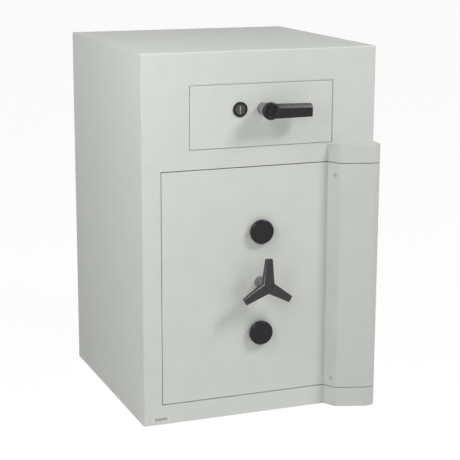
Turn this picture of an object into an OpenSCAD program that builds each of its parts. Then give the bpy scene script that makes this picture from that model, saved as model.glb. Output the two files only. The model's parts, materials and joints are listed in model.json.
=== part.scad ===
/* [Body] */
// Width of the body over the outer skin
body_w = 600; // [560:5:700]
// Depth of the body, front face to back
body_d = 590; // [560:5:700]
// Height of the body
body_h = 900; // [820:5:1000]
// Thickness of the side, back and top walls, skin to liner
wall_t = 46; // [44:1:56]
// Thickness of the floor, up to the liner's top
floor_t = 48; // [44:1:56]
// Height of the front above the drawer's opening
head_h = 77.5; // [60:0.5:90]
// Height of the front between the two openings
mid_h = 45; // [42:0.5:60]
// Thickness of the outer skin
skin_t = 3; // [2:0.5:5]
// Thickness of the front frame plate
front_t = 6; // [5:0.5:8]
// Thickness of the inner liner
liner_t = 3; // [2:0.5:4]
// Radius of the body's outer edges
edge_r = 4; // [2:0.5:8]
// Distance between the floor anchor holes, side to side
anchor_dx = 300; // [200:10:340]
// Distance between the floor anchor holes, front to back
anchor_dy = 250; // [150:10:280]
// Radius of a floor anchor hole
anchor_r = 9; // [6:0.5:11]
// Height of the shelf's lower edge above the compartment's floor
shelf_up = 230; // [150:5:300]
// Thickness of the shelf's sheet
shelf_t = 2; // [1.5:0.25:3]
// Height of the shelf's folded front edge
shelf_lip = 22; // [15:1:30]

/* [Main door] */
// Gap round the door and round the drawer front
door_gap = 2.5; // [2:0.25:3]
// Thickness of the door plate
plate_t = 12; // [10:1:14]
// Depth of the whole door, plate to back cover
door_d = 90; // [88:1:92]
// Step from the plate's edge in to the door pan
pan_inset = 12.5; // [12:0.5:14]
// Thickness of the pan's sheet and of the back cover
pan_t = 3; // [2:0.5:4]
// Thickness of the hardplate behind the door plate
hard_t = 6; // [4:0.5:8]
// Thickness of the fill behind the hardplate
fill_t = 26; // [22:1:28]
// Radius of a cover screw's thread
screw_r = 2.5; // [2:0.25:3]

/* [Hinge column] */
// Width of the column, from the body's side to the seam on the door
column_w = 123; // [115:1:130]
// How far the column's edge beside the seam leans in
slope_w = 17; // [12:1:22]
// How far the sloped edge stands out from the door
slope_out = 33; // [28:1:36]
// Distance of the hinge axis from the body's side, and out from its front
axis_in = 29; // [28:0.25:31]
// Radius of the column's round nose
nose_r = 28; // [25:0.5:28]
// Thickness of the column cover's sheet
cover_t = 2.5; // [1.5:0.25:3]
// Gap between the column and the fixed blocks
seam = 1.5; // [1:0.25:2.5]
// Gap between the fixed top block and the drawer's opening
block_gap = 2; // [1:0.5:6]
// Radius of the hinge pins
pin_r = 9; // [7:0.5:10]
// How deep a pin goes into its block
pin_deep = 34; // [25:1:36]
// Length of a hinge bush
bush_h = 36; // [25:1:50]
// Radius of the hinge tube
tube_r = 21; // [19:0.5:22]
// Radius of a column plug
plug_r = 5.5; // [4:0.5:7]
// Distance of the upper plug from the cover's end
plug_end = 30; // [20:1:60]
// Distance of the lower plug from the cover's end
plug_foot = 22; // [20:1:60]

/* [Bolt work] */
// Radius of the round bolts
bolt_r = 12; // [9:0.5:12]
// Depth of the bolts' centre line behind the door's face
bolt_y = 66; // [65:0.5:67]
// Distance between the side bolts
bolt_pitch = 190; // [160:5:200]
// Number of teeth on the pinion
pinion_n = 22; // [20:2:24]
// Gear module of the pinion and racks
gear_m = 1.5; // [1.5:0.05:1.6]
// How far the handle turns to throw the bolts, in degrees
handle_turn = 90; // [80:1:95]
// Thickness of the racks
rack_t = 10; // [8:0.5:10]
// Width of the rods behind the racks' teeth
rod_w = 12; // [10:0.5:14]
// Distance of each key lock from the handle, up and down
lock_pitch = 127; // [120:1:150]
// Throw of a lock bolt
lock_throw = 10; // [6:0.5:11]
// Height of a lock bolt
lock_bolt_h = 13; // [8:0.5:14]

/* [Handle and key covers] */
// Reach of each spoke from the spindle
spoke_reach = 69; // [55:1:85]
// Width of a spoke at the hub
spoke_w = 30; // [22:1:34]
// Width of a spoke at its tip
spoke_tip_w = 17; // [12:0.5:20]
// Thickness of a spoke at the hub
spoke_t = 16; // [12:0.5:20]
// Thickness of a spoke at its tip
spoke_tip_t = 9; // [7:0.5:12]
// Turn of the handle at rest, clockwise from the front
handle_rest = 1.5; // [0:0.5:4]
// Distance of the handle's front from the door
handle_out = 59; // [50:1:70]
// Radius of the handle spindle
spindle_r = 8; // [6:0.5:9]
// Radius of the round boss behind the handle
boss_r = 14.5; // [13:0.5:18]
// Radius of a key cover
key_cover_r = 30; // [27:0.5:34]
// Thickness of a key cover
key_cover_t = 8.6; // [7:0.2:12]
// Thickness of the escutcheon under a key cover
escutcheon_t = 6; // [4:0.5:8]

/* [Drawer] */
// Width of the drawer front
drawer_w = 365; // [345:5:375]
// Height of the drawer front
drawer_h = 149.5; // [145:0.5:155]
// Distance of the drawer's centre to the right of the body's
drawer_shift = 2; // [-10:1:10]
// Thickness of the drawer front
drawer_t = 10; // [8:0.5:12]
// How far the drawer slides out
drawer_travel = 250; // [200:5:260]
// Thickness of the drawer box's sheet
box_t = 2; // [1.5:0.25:3]
// How much longer the runners are than the travel
runner_over = 10; // [5:1:12]
// Length of the drawer box, front to back
box_len = 262; // [250:1:270]
// Height of the tipping floor above the lower edge of the front
floor_up = 43.5; // [43:0.5:50]
// How far the floor tips down, in degrees
tip_angle = 35; // [20:1:36]
// Thickness of a telescopic runner
runner_t = 12.7; // [12:0.1:14]
// Height of a telescopic runner
runner_h = 45; // [40:1:50]
// Length of the drawer housing behind the front face
housing_len = 335; // [325:1:345]

/* [Drawer lever and lock] */
// Place of the lever to the right of the body's middle
lever_x = 3; // [0:0.5:8]
// Turn of the lever at rest, clockwise from the front
lever_rest = 1.5; // [0:0.5:3]
// Reach of the lever from its spindle
lever_reach = 107; // [90:1:120]
// Height of the lever's arm
lever_h = 32; // [26:0.5:36]
// Distance of the lever's front from the drawer front
lever_out = 55; // [48:1:60]
// Radius of the lever's hub
hub_r = 21; // [19:0.5:24]
// Radius of the lever's boss and of the neck's thin end
neck_r = 14.5; // [13:0.5:18]
// Radius of the lever's spindle
lever_spindle_r = 6; // [4.5:0.5:7]
// Height of lever and lock above the middle of the drawer front
lever_up = 15.5; // [10:0.5:18]
// Distance of the key lock to the left of the lever
lock_left = 58; // [53:1:70]
// Radius of the key lock's face
lock_face_r = 18.25; // [17:0.25:22]
// Radius of the lock's turning plug
lock_plug_r = 12.5; // [12:0.25:14]
// Length of the latch arm behind the lever
latch_len = 107; // [104:0.5:108]
// Length of the key lock's cam
cam_len = 78; // [74:0.5:80]

/* [Hidden] */
$fn = 64;

// Clearances
fit = 0.05;
loose = 0.3;
bolt_play = 1.5;

// Corners of the body, with the origin at the middle of its footprint
xl = -body_w / 2;
xr = body_w / 2;
yf = -body_d / 2;
yb = body_d / 2;

// Door opening and cavity
ox0 = xl + wall_t;
ox1 = xr - wall_t;
oz0 = floor_t;
oz1 = body_h - head_h - drawer_h - 2 * door_gap - mid_h;
cy0 = yf + wall_t;
cy1 = yb - wall_t;
cz1 = body_h - wall_t;

// Door plate
dx0 = ox0 + door_gap;
dx1 = ox1 - door_gap;
dz0 = oz0 + door_gap;
dz1 = oz1 - door_gap;
door_mid = (dz0 + dz1) / 2;

// Door pan, with its web between the fill and the bolt work
qx0 = dx0 + pan_inset;
qx1 = dx1 - pan_inset;
qz0 = dz0 + pan_inset;
qz1 = dz1 - pan_inset;
web_y0 = yf + plate_t + hard_t + fill_t;
web_y1 = web_y0 + pan_t;
pan_y1 = yf + door_d - pan_t;

// Hinge column
hx = xr - axis_in;
hy = yf - axis_in;
seam_x = xr - column_w;
block_bot_h = dz0 - seam;
block_top_z0 = dz1 + seam;
block_top_z1 = oz1 + mid_h - block_gap;
tube_end = 3;
bush_t = 4;
washer_w = 6;
washer_play = 1.5;
leaf_w = 60;
leaf_h = 120;
leaf_end = 40;
leaf_back = 6;
plug_at = 0.58;
plug_out = 0.8;

// Bolt work
pitch_r = gear_m * pinion_n / 2;
bolt_travel = pitch_r * handle_turn * PI / 180;
tooth_pitch = PI * gear_m;
tooth_add = 0.8 * gear_m;
tooth_ded = 1.2 * gear_m;
tooth_thin = 0.25;
by = yf + bolt_y;
rack_gap = 4;
side_rack_y0 = web_y1 + rack_gap;
rod_y0 = by - rack_t / 2;
bolt_zs = [door_mid - bolt_pitch, door_mid, door_mid + bolt_pitch];
bar_t = 6;
bar_in = 64;
bar_over = 20;
tail_r = 6;
tail_out = 8;
rod_in = pitch_r + tooth_ded;
keeper_t = 8;
keeper_d = 100;
pocket_in = 12;
pocket_deep = keeper_t + pocket_in;
head_keeper_gap = 2;
pocket_floor = 16;
rod_mid = rod_in + rod_w / 2;
bolt_out = 4;
side_tip = qx0 - bolt_out;
bar_x0 = qx0 + bar_in;

// Key locks
lock_w = 64;
lock_h = 80;
lock_edge = 14;
window_play = 3;
lock_window = lock_bolt_h + window_play;
lock_slot = 22;
lock_bolt_in = 1;
lock_wall = 3;
lock_key_deep = 8;
key_r = 4;
cover_screw_in = 12;
cover_screw_xs = [qx0 + cover_screw_in, 0, qx1 - cover_screw_in];
cover_screw_zs = [qz0 + cover_screw_in, door_mid, qz1 - cover_screw_in];
cover_boss_r = 7;
cover_boss_deep = 20;
screw_head_r = screw_r * 1.8;
screw_head_t = 2;
screw_deep = 14;
// Nine places for cover screws, less the two that the bolt work needs
cover_screws_at = [
    for (x = cover_screw_xs, z = cover_screw_zs)
        if (z != door_mid || x > 0) [x, z]
];

// Dog bolts
dog_h = 40;
dog_t = 16;
dog_deep = 11;
dog_y0 = by - dog_t / 2;
dog_swing = 3.5;

// Drawer
wx0 = drawer_shift - drawer_w / 2;
wx1 = drawer_shift + drawer_w / 2;
wz1 = body_h - head_h - door_gap;
wz0 = wz1 - drawer_h;
sx0 = wx0 - door_gap;
sx1 = wx1 + door_gap;
sz0 = wz0 - door_gap;
sz1 = wz1 + door_gap;
housing_t = 3;
lever_z = (wz0 + wz1) / 2 + lever_up;
lock_x = lever_x - lock_left;
latch_gap = 3;
latch_y0 = yf + drawer_t + latch_gap;
latch_t = 6;
latch_w = 18;
latch_rim = 7;
pocket_play = 4;
cam_gap = 1.5;
cam_y0 = latch_y0 + latch_t + cam_gap;
cam_t = 3;
cam_w = 16;
box_y0 = cam_y0 + cam_t + latch_gap;
box_y1 = box_y0 + box_len;
box_x0 = sx0 + runner_t;
box_x1 = sx1 - runner_t;
tray_z = wz0 + floor_up;
box_down = 10;
box_z1 = wz1 - box_down;
tip_in = 6;
tip_down = 4;
tip_y = cy0 + tip_in;
tip_z = tray_z - tip_down;
tip_pin_r = 3;
eye_r = 5.5;
tray_gap = 1;
tray_lip = 1.5;
lug_over = 10;
runner_up = 18;
runner_z = tray_z + runner_h / 2 + runner_up;
runner_s = 1.5;
runner_step = runner_s + 0.5;
baffle_drop = 26;
baffle_teeth = 12;
standoff_r = 5;
standoff_x = 40;
standoff_z = 14;

// Blank rating plate
label_in = 20;
label_up = 8;
label_w = 47;
label_h = 12;
label_t = 0.8;

// Shelf
shelf_z = floor_t + shelf_up;
shelf_back = 24;
shelf_y0 = yf + door_d + shelf_back;
shelf_pin_in = 60;
shelf_gap = 1;
shelf_pin_r = 4;
shelf_pin_out = 14;
shelf_pin_z = shelf_z + shelf_lip - shelf_t - shelf_pin_r;

// Boxes and round bars by their end coordinates
module span(x0, x1, y0, y1, z0, z1) {
    translate([x0, y0, z0])
        cube([x1 - x0, y1 - y0, z1 - z0]);
}

module bar_x(y, z, x0, x1, r) {
    translate([x0, y, z])
        rotate([0, 90, 0])
            cylinder(h = x1 - x0, r = r);
}

module bar_y(x, z, y0, y1, r) {
    translate([x, y1, z])
        rotate([90, 0, 0])
            cylinder(h = y1 - y0, r = r);
}

module bar_z(x, y, z0, z1, r) {
    translate([x, y, z0])
        cylinder(h = z1 - z0, r = r);
}

// Flat shapes drawn in x and z, thickened from y0 to y1
module front_slab(y0, y1) {
    translate([0, y1, 0])
        rotate([90, 0, 0])
            linear_extrude(y1 - y0)
                children();
}

// Flat shapes drawn in y and z, thickened from x0 to x1
module side_slab(x0, x1) {
    translate([x0, 0, 0])
        rotate([90, 0, 90])
            linear_extrude(x1 - x0)
                children();
}

// Rectangle with round corners, from its lower left corner
module round_rect(w, h, r) {
    translate([r, 0])
        square([w - 2 * r, h]);
    translate([0, r])
        square([w, h - 2 * r]);
    for (x = [r, w - r], y = [r, h - r])
        translate([x, y])
            circle(r);
}

// The body's outer block with all its edges rounded
module body_block() {
    intersection() {
        translate([xl, yf, 0])
            linear_extrude(body_h)
                round_rect(body_w, body_d, edge_r);
        front_slab(yf, yb)
            translate([xl, 0])
                round_rect(body_w, body_h, edge_r);
        side_slab(xl, xr)
            translate([yf, 0])
                round_rect(body_d, body_h, edge_r);
    }
}

module anchor_holes(z0, z1) {
    for (x = [-1, 1], y = [-1, 1])
        bar_z(x * anchor_dx / 2, y * anchor_dy / 2, z0, z1, anchor_r);
}

module outer_casing() {
    color([0.80, 0.81, 0.79])
        difference() {
            body_block();
            span(xl - 1, xr + 1, yf - 1, yf + front_t, -1, body_h + 1);
            span(xl + skin_t, xr - skin_t, yf, yb - skin_t, skin_t, body_h - skin_t);
            anchor_holes(-1, skin_t + 1);
        }
}

module front_frame() {
    color([0.82, 0.83, 0.81])
        difference() {
            intersection() {
                body_block();
                span(xl, xr, yf, yf + front_t, 0, body_h);
            }
            span(ox0, ox1, yf - 1, yf + front_t + 1, oz0, oz1);
            span(sx0, sx1, yf - 1, yf + front_t + 1, sz0, sz1);
        }
}

// Space taken by the liner's outside, the openings in the front wall and the keepers
module cavity_outside() {
    span(ox0 - liner_t, ox1 + liner_t, cy0 - liner_t, cy1 + liner_t, oz0 - liner_t, cz1 + liner_t);
    span(ox0 - liner_t, ox1 + liner_t, yf, cy0, oz0 - liner_t, oz1 + liner_t);
    span(ox0 - keeper_t, ox1 + keeper_t, yf, yf + front_t + keeper_d, oz0, oz1);
    span(sx0 - housing_t, sx1 + housing_t, yf, cy0, sz0 - housing_t, sz1 + housing_t);
}

// Pockets in the sill and the head that the latch arm and the lock's cam swing into.
// Each is as wide as the arm's tip has reached when it passes the opening's edge.
function swing_reach(len, width, drop) = sqrt(pow(norm([len, width / 2]), 2) - pow(drop, 2));

module latch_pockets() {
    span(lever_x - latch_w / 2 - pocket_play,
        lever_x + swing_reach(latch_len, latch_w, lever_z - sz0) + pocket_play,
        yf + front_t, box_y0, lever_z - latch_len - pocket_play, sz0 + 1);
    span(lock_x - swing_reach(cam_len, cam_w, sz1 - lever_z) - pocket_play,
        lock_x + cam_w / 2 + pocket_play,
        yf + front_t, box_y0, sz1 - 1, lever_z + cam_len + pocket_play);
}

module side_pockets() {
    for (z = bolt_zs)
        bar_x(by, z, ox0 - pocket_deep, ox0 + 1, bolt_r + bolt_play);
    for (z = bolt_zs)
        span(ox1 - 1, ox1 + pocket_deep, dog_y0 - dog_swing, dog_y0 + dog_t + bolt_play,
            z - dog_h / 2 - bolt_play, z + dog_h / 2 + bolt_play);
}

module floor_pocket() {
    bar_z(rod_mid, by, oz0 - pocket_floor, oz0 + 1, bolt_r + bolt_play);
}

module barrier_fill() {
    color([0.62, 0.61, 0.58])
        difference() {
            span(xl + skin_t, xr - skin_t, yf + front_t, yb - skin_t, skin_t, body_h - skin_t);
            cavity_outside();
            latch_pockets();
            side_pockets();
            floor_pocket();
            anchor_holes(0, floor_t);
        }
}

// Flat liner sheets that butt at the corners, each a fit apart as tacked before welding
module inner_liner() {
    color([0.72, 0.73, 0.71])
        difference() {
            union() {
                for (x = [ox0 - liner_t, ox1])
                    span(x, x + liner_t, cy0 - liner_t, cy1 + liner_t, oz0, cz1 + liner_t);
                span(ox0 + fit, ox1 - fit, cy0 - liner_t, cy1 + liner_t, cz1, cz1 + liner_t);
                span(ox0 + fit, ox1 - fit, cy1, cy1 + liner_t, oz0, cz1 - fit);
                span(ox0 + fit, ox1 - fit, cy0 - liner_t, cy0, oz1, cz1 - fit);
                span(ox0 - liner_t, ox1 + liner_t, yf + front_t, cy0 - liner_t - fit,
                    oz1, oz1 + liner_t);
            }
            span(ox0 - keeper_t, ox1 + keeper_t, yf, yf + front_t + keeper_d, oz0 - 1, oz1);
            span(sx0 - housing_t, sx1 + housing_t, yf, cy0 + 1, sz0 - housing_t, sz1 + housing_t);
        }
}

module liner_floor() {
    color([0.72, 0.73, 0.71])
        difference() {
            span(ox0 - liner_t, ox1 + liner_t, yf + front_t, cy1 + liner_t, oz0 - liner_t, oz0);
            floor_pocket();
            anchor_holes(0, floor_t + 1);
        }
}

module keeper_left() {
    color([0.60, 0.61, 0.62])
        difference() {
            span(ox0 - keeper_t, ox0, yf + front_t, yf + front_t + keeper_d, oz0, oz1);
            side_pockets();
        }
}

module keeper_right() {
    color([0.60, 0.61, 0.62])
        difference() {
            span(ox1, ox1 + keeper_t, yf + front_t, yf + front_t + keeper_d, oz0, oz1);
            side_pockets();
        }
}

module head_keeper() {
    color([0.60, 0.61, 0.62])
        span(ox0, ox1, cy0, by - bolt_r - head_keeper_gap, oz1, sz0 - housing_t);
}

// Hinge column outline in plan, with an inset for the sheet's inside
slope_len = norm([slope_w, slope_out]);
n_slope = [slope_out / slope_len, slope_w / slope_len];
p_seam = [seam_x, yf];
p_edge = [seam_x + slope_w, yf - slope_out];
hinge_pt = [hx, hy];
edge_vec = p_edge - hinge_pt;
tangent_dir = atan2(edge_vec[1], edge_vec[0]) + acos(nose_r / norm(edge_vec));
n_face = -[cos(tangent_dir), sin(tangent_dir)];

function edge_shift(t) =
    let (d = n_slope[0] * n_face[1] - n_slope[1] * n_face[0])
    t * [n_face[1] - n_slope[1], n_slope[0] - n_face[0]] / d;

function column_points(t) = [
    p_seam + [t / n_slope[0], 0],
    p_edge + edge_shift(t),
    hinge_pt - (nose_r - t) * n_face,
    hinge_pt
];

module column_outline(t, back) {
    polygon(concat(column_points(t), [[hx, hy + nose_r - t], [dx1, hy + nose_r - t], [dx1, back]]));
    translate(hinge_pt)
        circle(nose_r - t);
}

module block_outline() {
    polygon(concat(column_points(0), [[hx + nose_r, hy], [hx + nose_r, yf]]));
    translate(hinge_pt)
        circle(nose_r);
}

module hinge_block_top() {
    color([0.80, 0.81, 0.79])
        difference() {
            translate([0, 0, block_top_z0])
                linear_extrude(block_top_z1 - block_top_z0)
                    block_outline();
            bar_z(hx, hy, block_top_z0 - 1, block_top_z0 + pin_deep, pin_r + fit);
        }
}

module hinge_block_bottom() {
    color([0.80, 0.81, 0.79])
        difference() {
            linear_extrude(block_bot_h)
                block_outline();
            bar_z(hx, hy, block_bot_h - pin_deep, block_bot_h + 1, pin_r + fit);
        }
}

module hinge_pins() {
    color([0.70, 0.71, 0.72]) {
        bar_z(hx, hy, block_bot_h - pin_deep, dz0 + tube_end + bush_h, pin_r);
        bar_z(hx, hy, dz1 - tube_end - bush_h, block_top_z0 + pin_deep, pin_r);
    }
}

module thrust_washer() {
    color([0.78, 0.62, 0.35])
        difference() {
            bar_z(hx, hy, block_bot_h, dz0 + tube_end - loose, pin_r + washer_w);
            bar_z(hx, hy, 0, dz0 + tube_end, pin_r + fit);
        }
}

module rating_plate() {
    color([0.66, 0.66, 0.65])
        span(xl + label_in, xl + label_in + label_w, yf - label_t, yf, label_up, label_up + label_h);
}

module shelf() {
    color([0.72, 0.73, 0.71])
        difference() {
            span(ox0 + shelf_gap, ox1 - shelf_gap, shelf_y0, cy1 - shelf_gap,
                shelf_z, shelf_z + shelf_lip);
            span(ox0, ox1, shelf_y0 + shelf_t, cy1, shelf_z - 1, shelf_z + shelf_lip - shelf_t);
        }
}

module shelf_pins() {
    color([0.60, 0.61, 0.62])
        for (y = [shelf_y0 + shelf_pin_in, cy1 - shelf_pin_in]) {
            bar_x(y, shelf_pin_z, ox0, ox0 + shelf_pin_out, shelf_pin_r);
            bar_x(y, shelf_pin_z, ox1 - shelf_pin_out, ox1, shelf_pin_r);
        }
}

module drawer_housing() {
    color([0.66, 0.67, 0.66])
        difference() {
            span(sx0 - housing_t, sx1 + housing_t, yf + front_t, yf + housing_len,
                sz0 - housing_t, sz1 + housing_t);
            span(sx0, sx1, yf, yf + housing_len + 1, sz0, sz1);
            span(sx0, sx1, cy0, yf + housing_len + 1, sz0 - housing_t - 1, sz0 + 1);
            latch_pockets();
        }
}

// Runner rails of channel section: s is 1 on the right side and -1 on the left
module rail(s, wall, out0, out1, web_out, half_h) {
    y0 = box_y0;
    y1 = box_y0 + drawer_travel + runner_over;
    web0 = web_out ? out0 : out1 - runner_s;
    for (z = [runner_z - half_h, runner_z + half_h - runner_s])
        span(min(wall - s * out0, wall - s * out1), max(wall - s * out0, wall - s * out1),
            y0, y1, z, z + runner_s);
    span(min(wall - s * web0, wall - s * (web0 + runner_s)),
        max(wall - s * web0, wall - s * (web0 + runner_s)),
        y0, y1, runner_z - half_h, runner_z + half_h);
}

module runner_fixed() {
    color([0.74, 0.75, 0.76]) {
        rail(-1, sx0, 0, runner_t - 1, true, runner_h / 2);
        rail(1, sx1, 0, runner_t - 1, true, runner_h / 2);
    }
}

module runner_middle() {
    middle_h = runner_h / 2 - runner_step;
    color([0.78, 0.79, 0.80]) {
        rail(-1, sx0, runner_step, runner_t - 1, true, middle_h);
        rail(1, sx1, runner_step, runner_t - 1, true, middle_h);
    }
}

module runner_drawer() {
    inner_h = runner_h / 2 - 2 * runner_step;
    color([0.74, 0.75, 0.76]) {
        rail(-1, sx0, 2 * runner_step, runner_t, false, inner_h);
        rail(1, sx1, 2 * runner_step, runner_t, false, inner_h);
    }
}

module fishing_baffle() {
    step = (sx1 - sx0 + 2 * housing_t) / baffle_teeth;
    top = sz1 - sz0 + housing_t + baffle_drop;
    color([0.60, 0.61, 0.62])
        front_slab(yf + housing_len, yf + housing_len + housing_t)
            translate([sx0 - housing_t, sz0 - baffle_drop])
                polygon(concat(
                    [[0, top]],
                    [for (i = [0 : baffle_teeth - 1]) each [[i * step, step / 2], [(i + 0.5) * step, 0]]],
                    [[baffle_teeth * step, step / 2], [baffle_teeth * step, top]]));
}

// Holes through the door for the spindle bush and the keys
bush_r = 11;
key_tube_r = 8;
key_tube_t = 2;

module door_holes(y0, y1) {
    bar_y(0, door_mid, y0, y1, bush_r + fit);
    for (s = [-1, 1])
        bar_y(0, door_mid + s * lock_pitch, y0, y1, key_tube_r + fit);
}

module door_plate() {
    color([0.82, 0.83, 0.81])
        difference() {
            span(dx0, dx1, yf, yf + plate_t, dz0, dz1);
            door_holes(yf - 1, yf + plate_t + 1);
        }
}

module hardplate() {
    color([0.45, 0.46, 0.48])
        difference() {
            span(qx0 + pan_t, qx1 - pan_t, yf + plate_t, yf + plate_t + hard_t,
                qz0 + pan_t, qz1 - pan_t);
            door_holes(yf, yf + door_d);
        }
}

module door_fill() {
    color([0.62, 0.61, 0.58])
        difference() {
            span(qx0 + pan_t, qx1 - pan_t, yf + plate_t + hard_t, web_y0, qz0 + pan_t, qz1 - pan_t);
            door_holes(yf, yf + door_d);
        }
}

module door_pan() {
    color([0.72, 0.73, 0.71])
        difference() {
            union() {
                difference() {
                    span(qx0, qx1, yf + plate_t, pan_y1, qz0, qz1);
                    span(qx0 + pan_t, qx1 - pan_t, yf, web_y0, qz0 + pan_t, qz1 - pan_t);
                    span(qx0 + pan_t, qx1 - pan_t, web_y1, pan_y1 + 1, qz0 + pan_t, qz1 - pan_t);
                }
                for (p = cover_screws_at)
                    bar_y(p[0], p[1], web_y1 - 1, pan_y1, cover_boss_r);
            }
            door_holes(yf, web_y1 + 1);
            for (z = bolt_zs)
                bar_x(by, z, qx0 - 1, qx0 + pan_t + 1, bolt_r + loose);
            bar_z(-rod_mid, by, qz1 - pan_t - 1, qz1 + 1, bolt_r + loose);
            bar_z(rod_mid, by, qz0 - 1, qz0 + pan_t + 1, bolt_r + loose);
            for (p = cover_screws_at)
                bar_y(p[0], p[1], pan_y1 - cover_boss_deep, pan_y1 + 1, screw_r + fit);
        }
}

module door_back_cover() {
    color([0.74, 0.75, 0.73])
        difference() {
            span(qx0, qx1, pan_y1, yf + door_d, qz0, qz1);
            for (p = cover_screws_at)
                bar_y(p[0], p[1], pan_y1 - 1, yf + door_d + 1, screw_r + fit);
        }
}

module cover_screws() {
    color([0.55, 0.56, 0.57])
        for (p = cover_screws_at) {
            bar_y(p[0], p[1], pan_y1 - screw_deep, yf + door_d, screw_r);
            bar_y(p[0], p[1], yf + door_d, yf + door_d + screw_head_t, screw_head_r);
        }
}

module hinge_tube() {
    color([0.55, 0.56, 0.57])
        difference() {
            union() {
                bar_z(hx, hy, dz0 + tube_end, dz1 - tube_end, tube_r);
                for (z = [dz0 + leaf_end, door_mid - leaf_h / 2, dz1 - leaf_end - leaf_h])
                    span(hx - leaf_w, dx1, hy + leaf_back, yf, z, z + leaf_h);
            }
            bar_z(hx, hy, dz0, dz1, pin_r + bush_t + fit);
        }
}

module hinge_bushes() {
    color([0.78, 0.62, 0.35])
        for (z = [dz0 + tube_end, dz1 - tube_end - bush_h])
            difference() {
                bar_z(hx, hy, z, z + bush_h, pin_r + bush_t);
                bar_z(hx, hy, z - 1, z + bush_h + 1, pin_r + fit);
            }
}

// A plug's frame: origin on the sloped edge, x axis pointing out of it
module at_plug(z) {
    translate([seam_x + slope_w * plug_at, yf - slope_out * plug_at, z])
        rotate([0, 0, atan2(-n_slope[1], -n_slope[0])])
            rotate([0, 90, 0])
                children();
}

module column_cover() {
    color([0.76, 0.77, 0.75])
        difference() {
            translate([0, 0, dz0])
                linear_extrude(dz1 - dz0)
                    column_outline(0, yf);
            translate([0, 0, dz0 + cover_t])
                linear_extrude(dz1 - dz0 - 2 * cover_t)
                    column_outline(cover_t, yf + 1);
            bar_z(hx, hy, dz0 - 1, dz1 + 1, pin_r + washer_w + washer_play);
            for (z = [dz0 + plug_foot, dz1 - plug_end])
                at_plug(z)
                    translate([0, 0, -cover_t - 3])
                        cylinder(h = cover_t + 6, r = plug_r + fit);
        }
}

module column_plugs() {
    color([0.60, 0.61, 0.62])
        for (z = [dz0 + plug_foot, dz1 - plug_end])
            at_plug(z)
                translate([0, 0, -cover_t])
                    cylinder(h = cover_t + plug_out, r = plug_r);
}

module dog_bolts() {
    color([0.70, 0.71, 0.72])
        for (z = bolt_zs)
            span(qx1, ox1 + dog_deep, dog_y0, dog_y0 + dog_t, z - dog_h / 2, z + dog_h / 2);
}

module key_tubes() {
    color([0.55, 0.56, 0.57])
        for (s = [-1, 1])
            difference() {
                bar_y(0, door_mid + s * lock_pitch, yf, web_y1, key_tube_r);
                bar_y(0, door_mid + s * lock_pitch, yf - 1, web_y1 + 1, key_tube_r - key_tube_t);
            }
}

// Key lock case: s is 1 for the upper lock, whose bolt points left, and -1 for the lower
module lock_case(s) {
    z = door_mid + s * lock_pitch;
    x0 = min(-s * lock_edge, s * (lock_w - lock_edge));
    difference() {
        span(x0, x0 + lock_w, web_y1, rod_y0 + rack_t + lock_wall, z - lock_h / 2, z + lock_h / 2);
        bar_y(0, z, web_y1 - 1, web_y1 + lock_key_deep, key_tube_r - key_tube_t);
        span(min(-s * (lock_edge + 1), s * lock_slot), max(-s * (lock_edge + 1), s * lock_slot),
            rod_y0 + lock_bolt_in - loose, rod_y0 + rack_t - lock_bolt_in + loose,
            z - lock_bolt_h / 2 - loose, z + lock_bolt_h / 2 + loose);
    }
}

module lock_bolt(s) {
    z = door_mid + s * lock_pitch;
    x0 = -s * (lock_edge + 1);
    x1 = s * (lock_slot - lock_throw);
    span(min(x0, x1), max(x0, x1), rod_y0 + lock_bolt_in, rod_y0 + rack_t - lock_bolt_in,
        z - lock_bolt_h / 2, z + lock_bolt_h / 2);
}

module lock_cases() {
    color([0.66, 0.60, 0.42]) {
        lock_case(1);
        lock_case(-1);
    }
}

module lock_bolt_upper() {
    color([0.78, 0.66, 0.40])
        lock_bolt(1);
}

module lock_bolt_lower() {
    color([0.78, 0.66, 0.40])
        lock_bolt(-1);
}

// Escutcheon with a keyhole, and a blunt post that its cover turns on
post_r = 3;
post_up = 19;
cover_skin = 3;
escutcheon_in = 3;

module escutcheon(z) {
    difference() {
        bar_y(0, z, yf - escutcheon_t, yf, key_cover_r - escutcheon_in);
        bar_y(0, z, yf - escutcheon_t - 1, yf + 1, key_r);
        span(-key_r / 2, key_r / 2, yf - escutcheon_t - 1, yf + 1, z - 3 * key_r, z);
    }
    bar_y(0, z + post_up, yf - escutcheon_t - key_cover_t + cover_skin, yf - escutcheon_t + 1, post_r);
}

module escutcheon_upper() {
    color([0.16, 0.16, 0.17])
        escutcheon(door_mid + lock_pitch);
}

module escutcheon_lower() {
    color([0.16, 0.16, 0.17])
        escutcheon(door_mid - lock_pitch);
}

module key_cover(z) {
    difference() {
        bar_y(0, z, yf - escutcheon_t - loose - key_cover_t, yf - escutcheon_t - loose, key_cover_r);
        bar_y(0, z + post_up, yf - escutcheon_t - key_cover_t + cover_skin - loose,
            yf - escutcheon_t, post_r + fit);
    }
}

module key_cover_upper() {
    color([0.20, 0.20, 0.21])
        key_cover(door_mid + lock_pitch);
}

module key_cover_lower() {
    color([0.20, 0.20, 0.21])
        key_cover(door_mid - lock_pitch);
}

boss_out = 14;
spoke_bevel = 4;
hub_over = 8;
hub_wide = 3;
hub_in = 2;
stem_step = 2;
cap_proud = 0.5;
cap_r = 6;
cap_deep = 6;
spindle_end = 9;

module spindle_bush() {
    color([0.42, 0.41, 0.42])
        difference() {
            union() {
                bar_y(0, door_mid, yf - boss_out, yf, boss_r);
                bar_y(0, door_mid, yf - 1, web_y1, bush_r);
            }
            bar_y(0, door_mid, yf - boss_out - 1, web_y1 + 1, spindle_r + fit);
        }
}

module spoke_outline(inset) {
    root = spoke_w / 2 - inset;
    tip = spoke_tip_w / 2 - inset;
    polygon([[-root, 0], [root, 0], [tip, spoke_reach - inset / 2], [-tip, spoke_reach - inset / 2]]);
}

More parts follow.
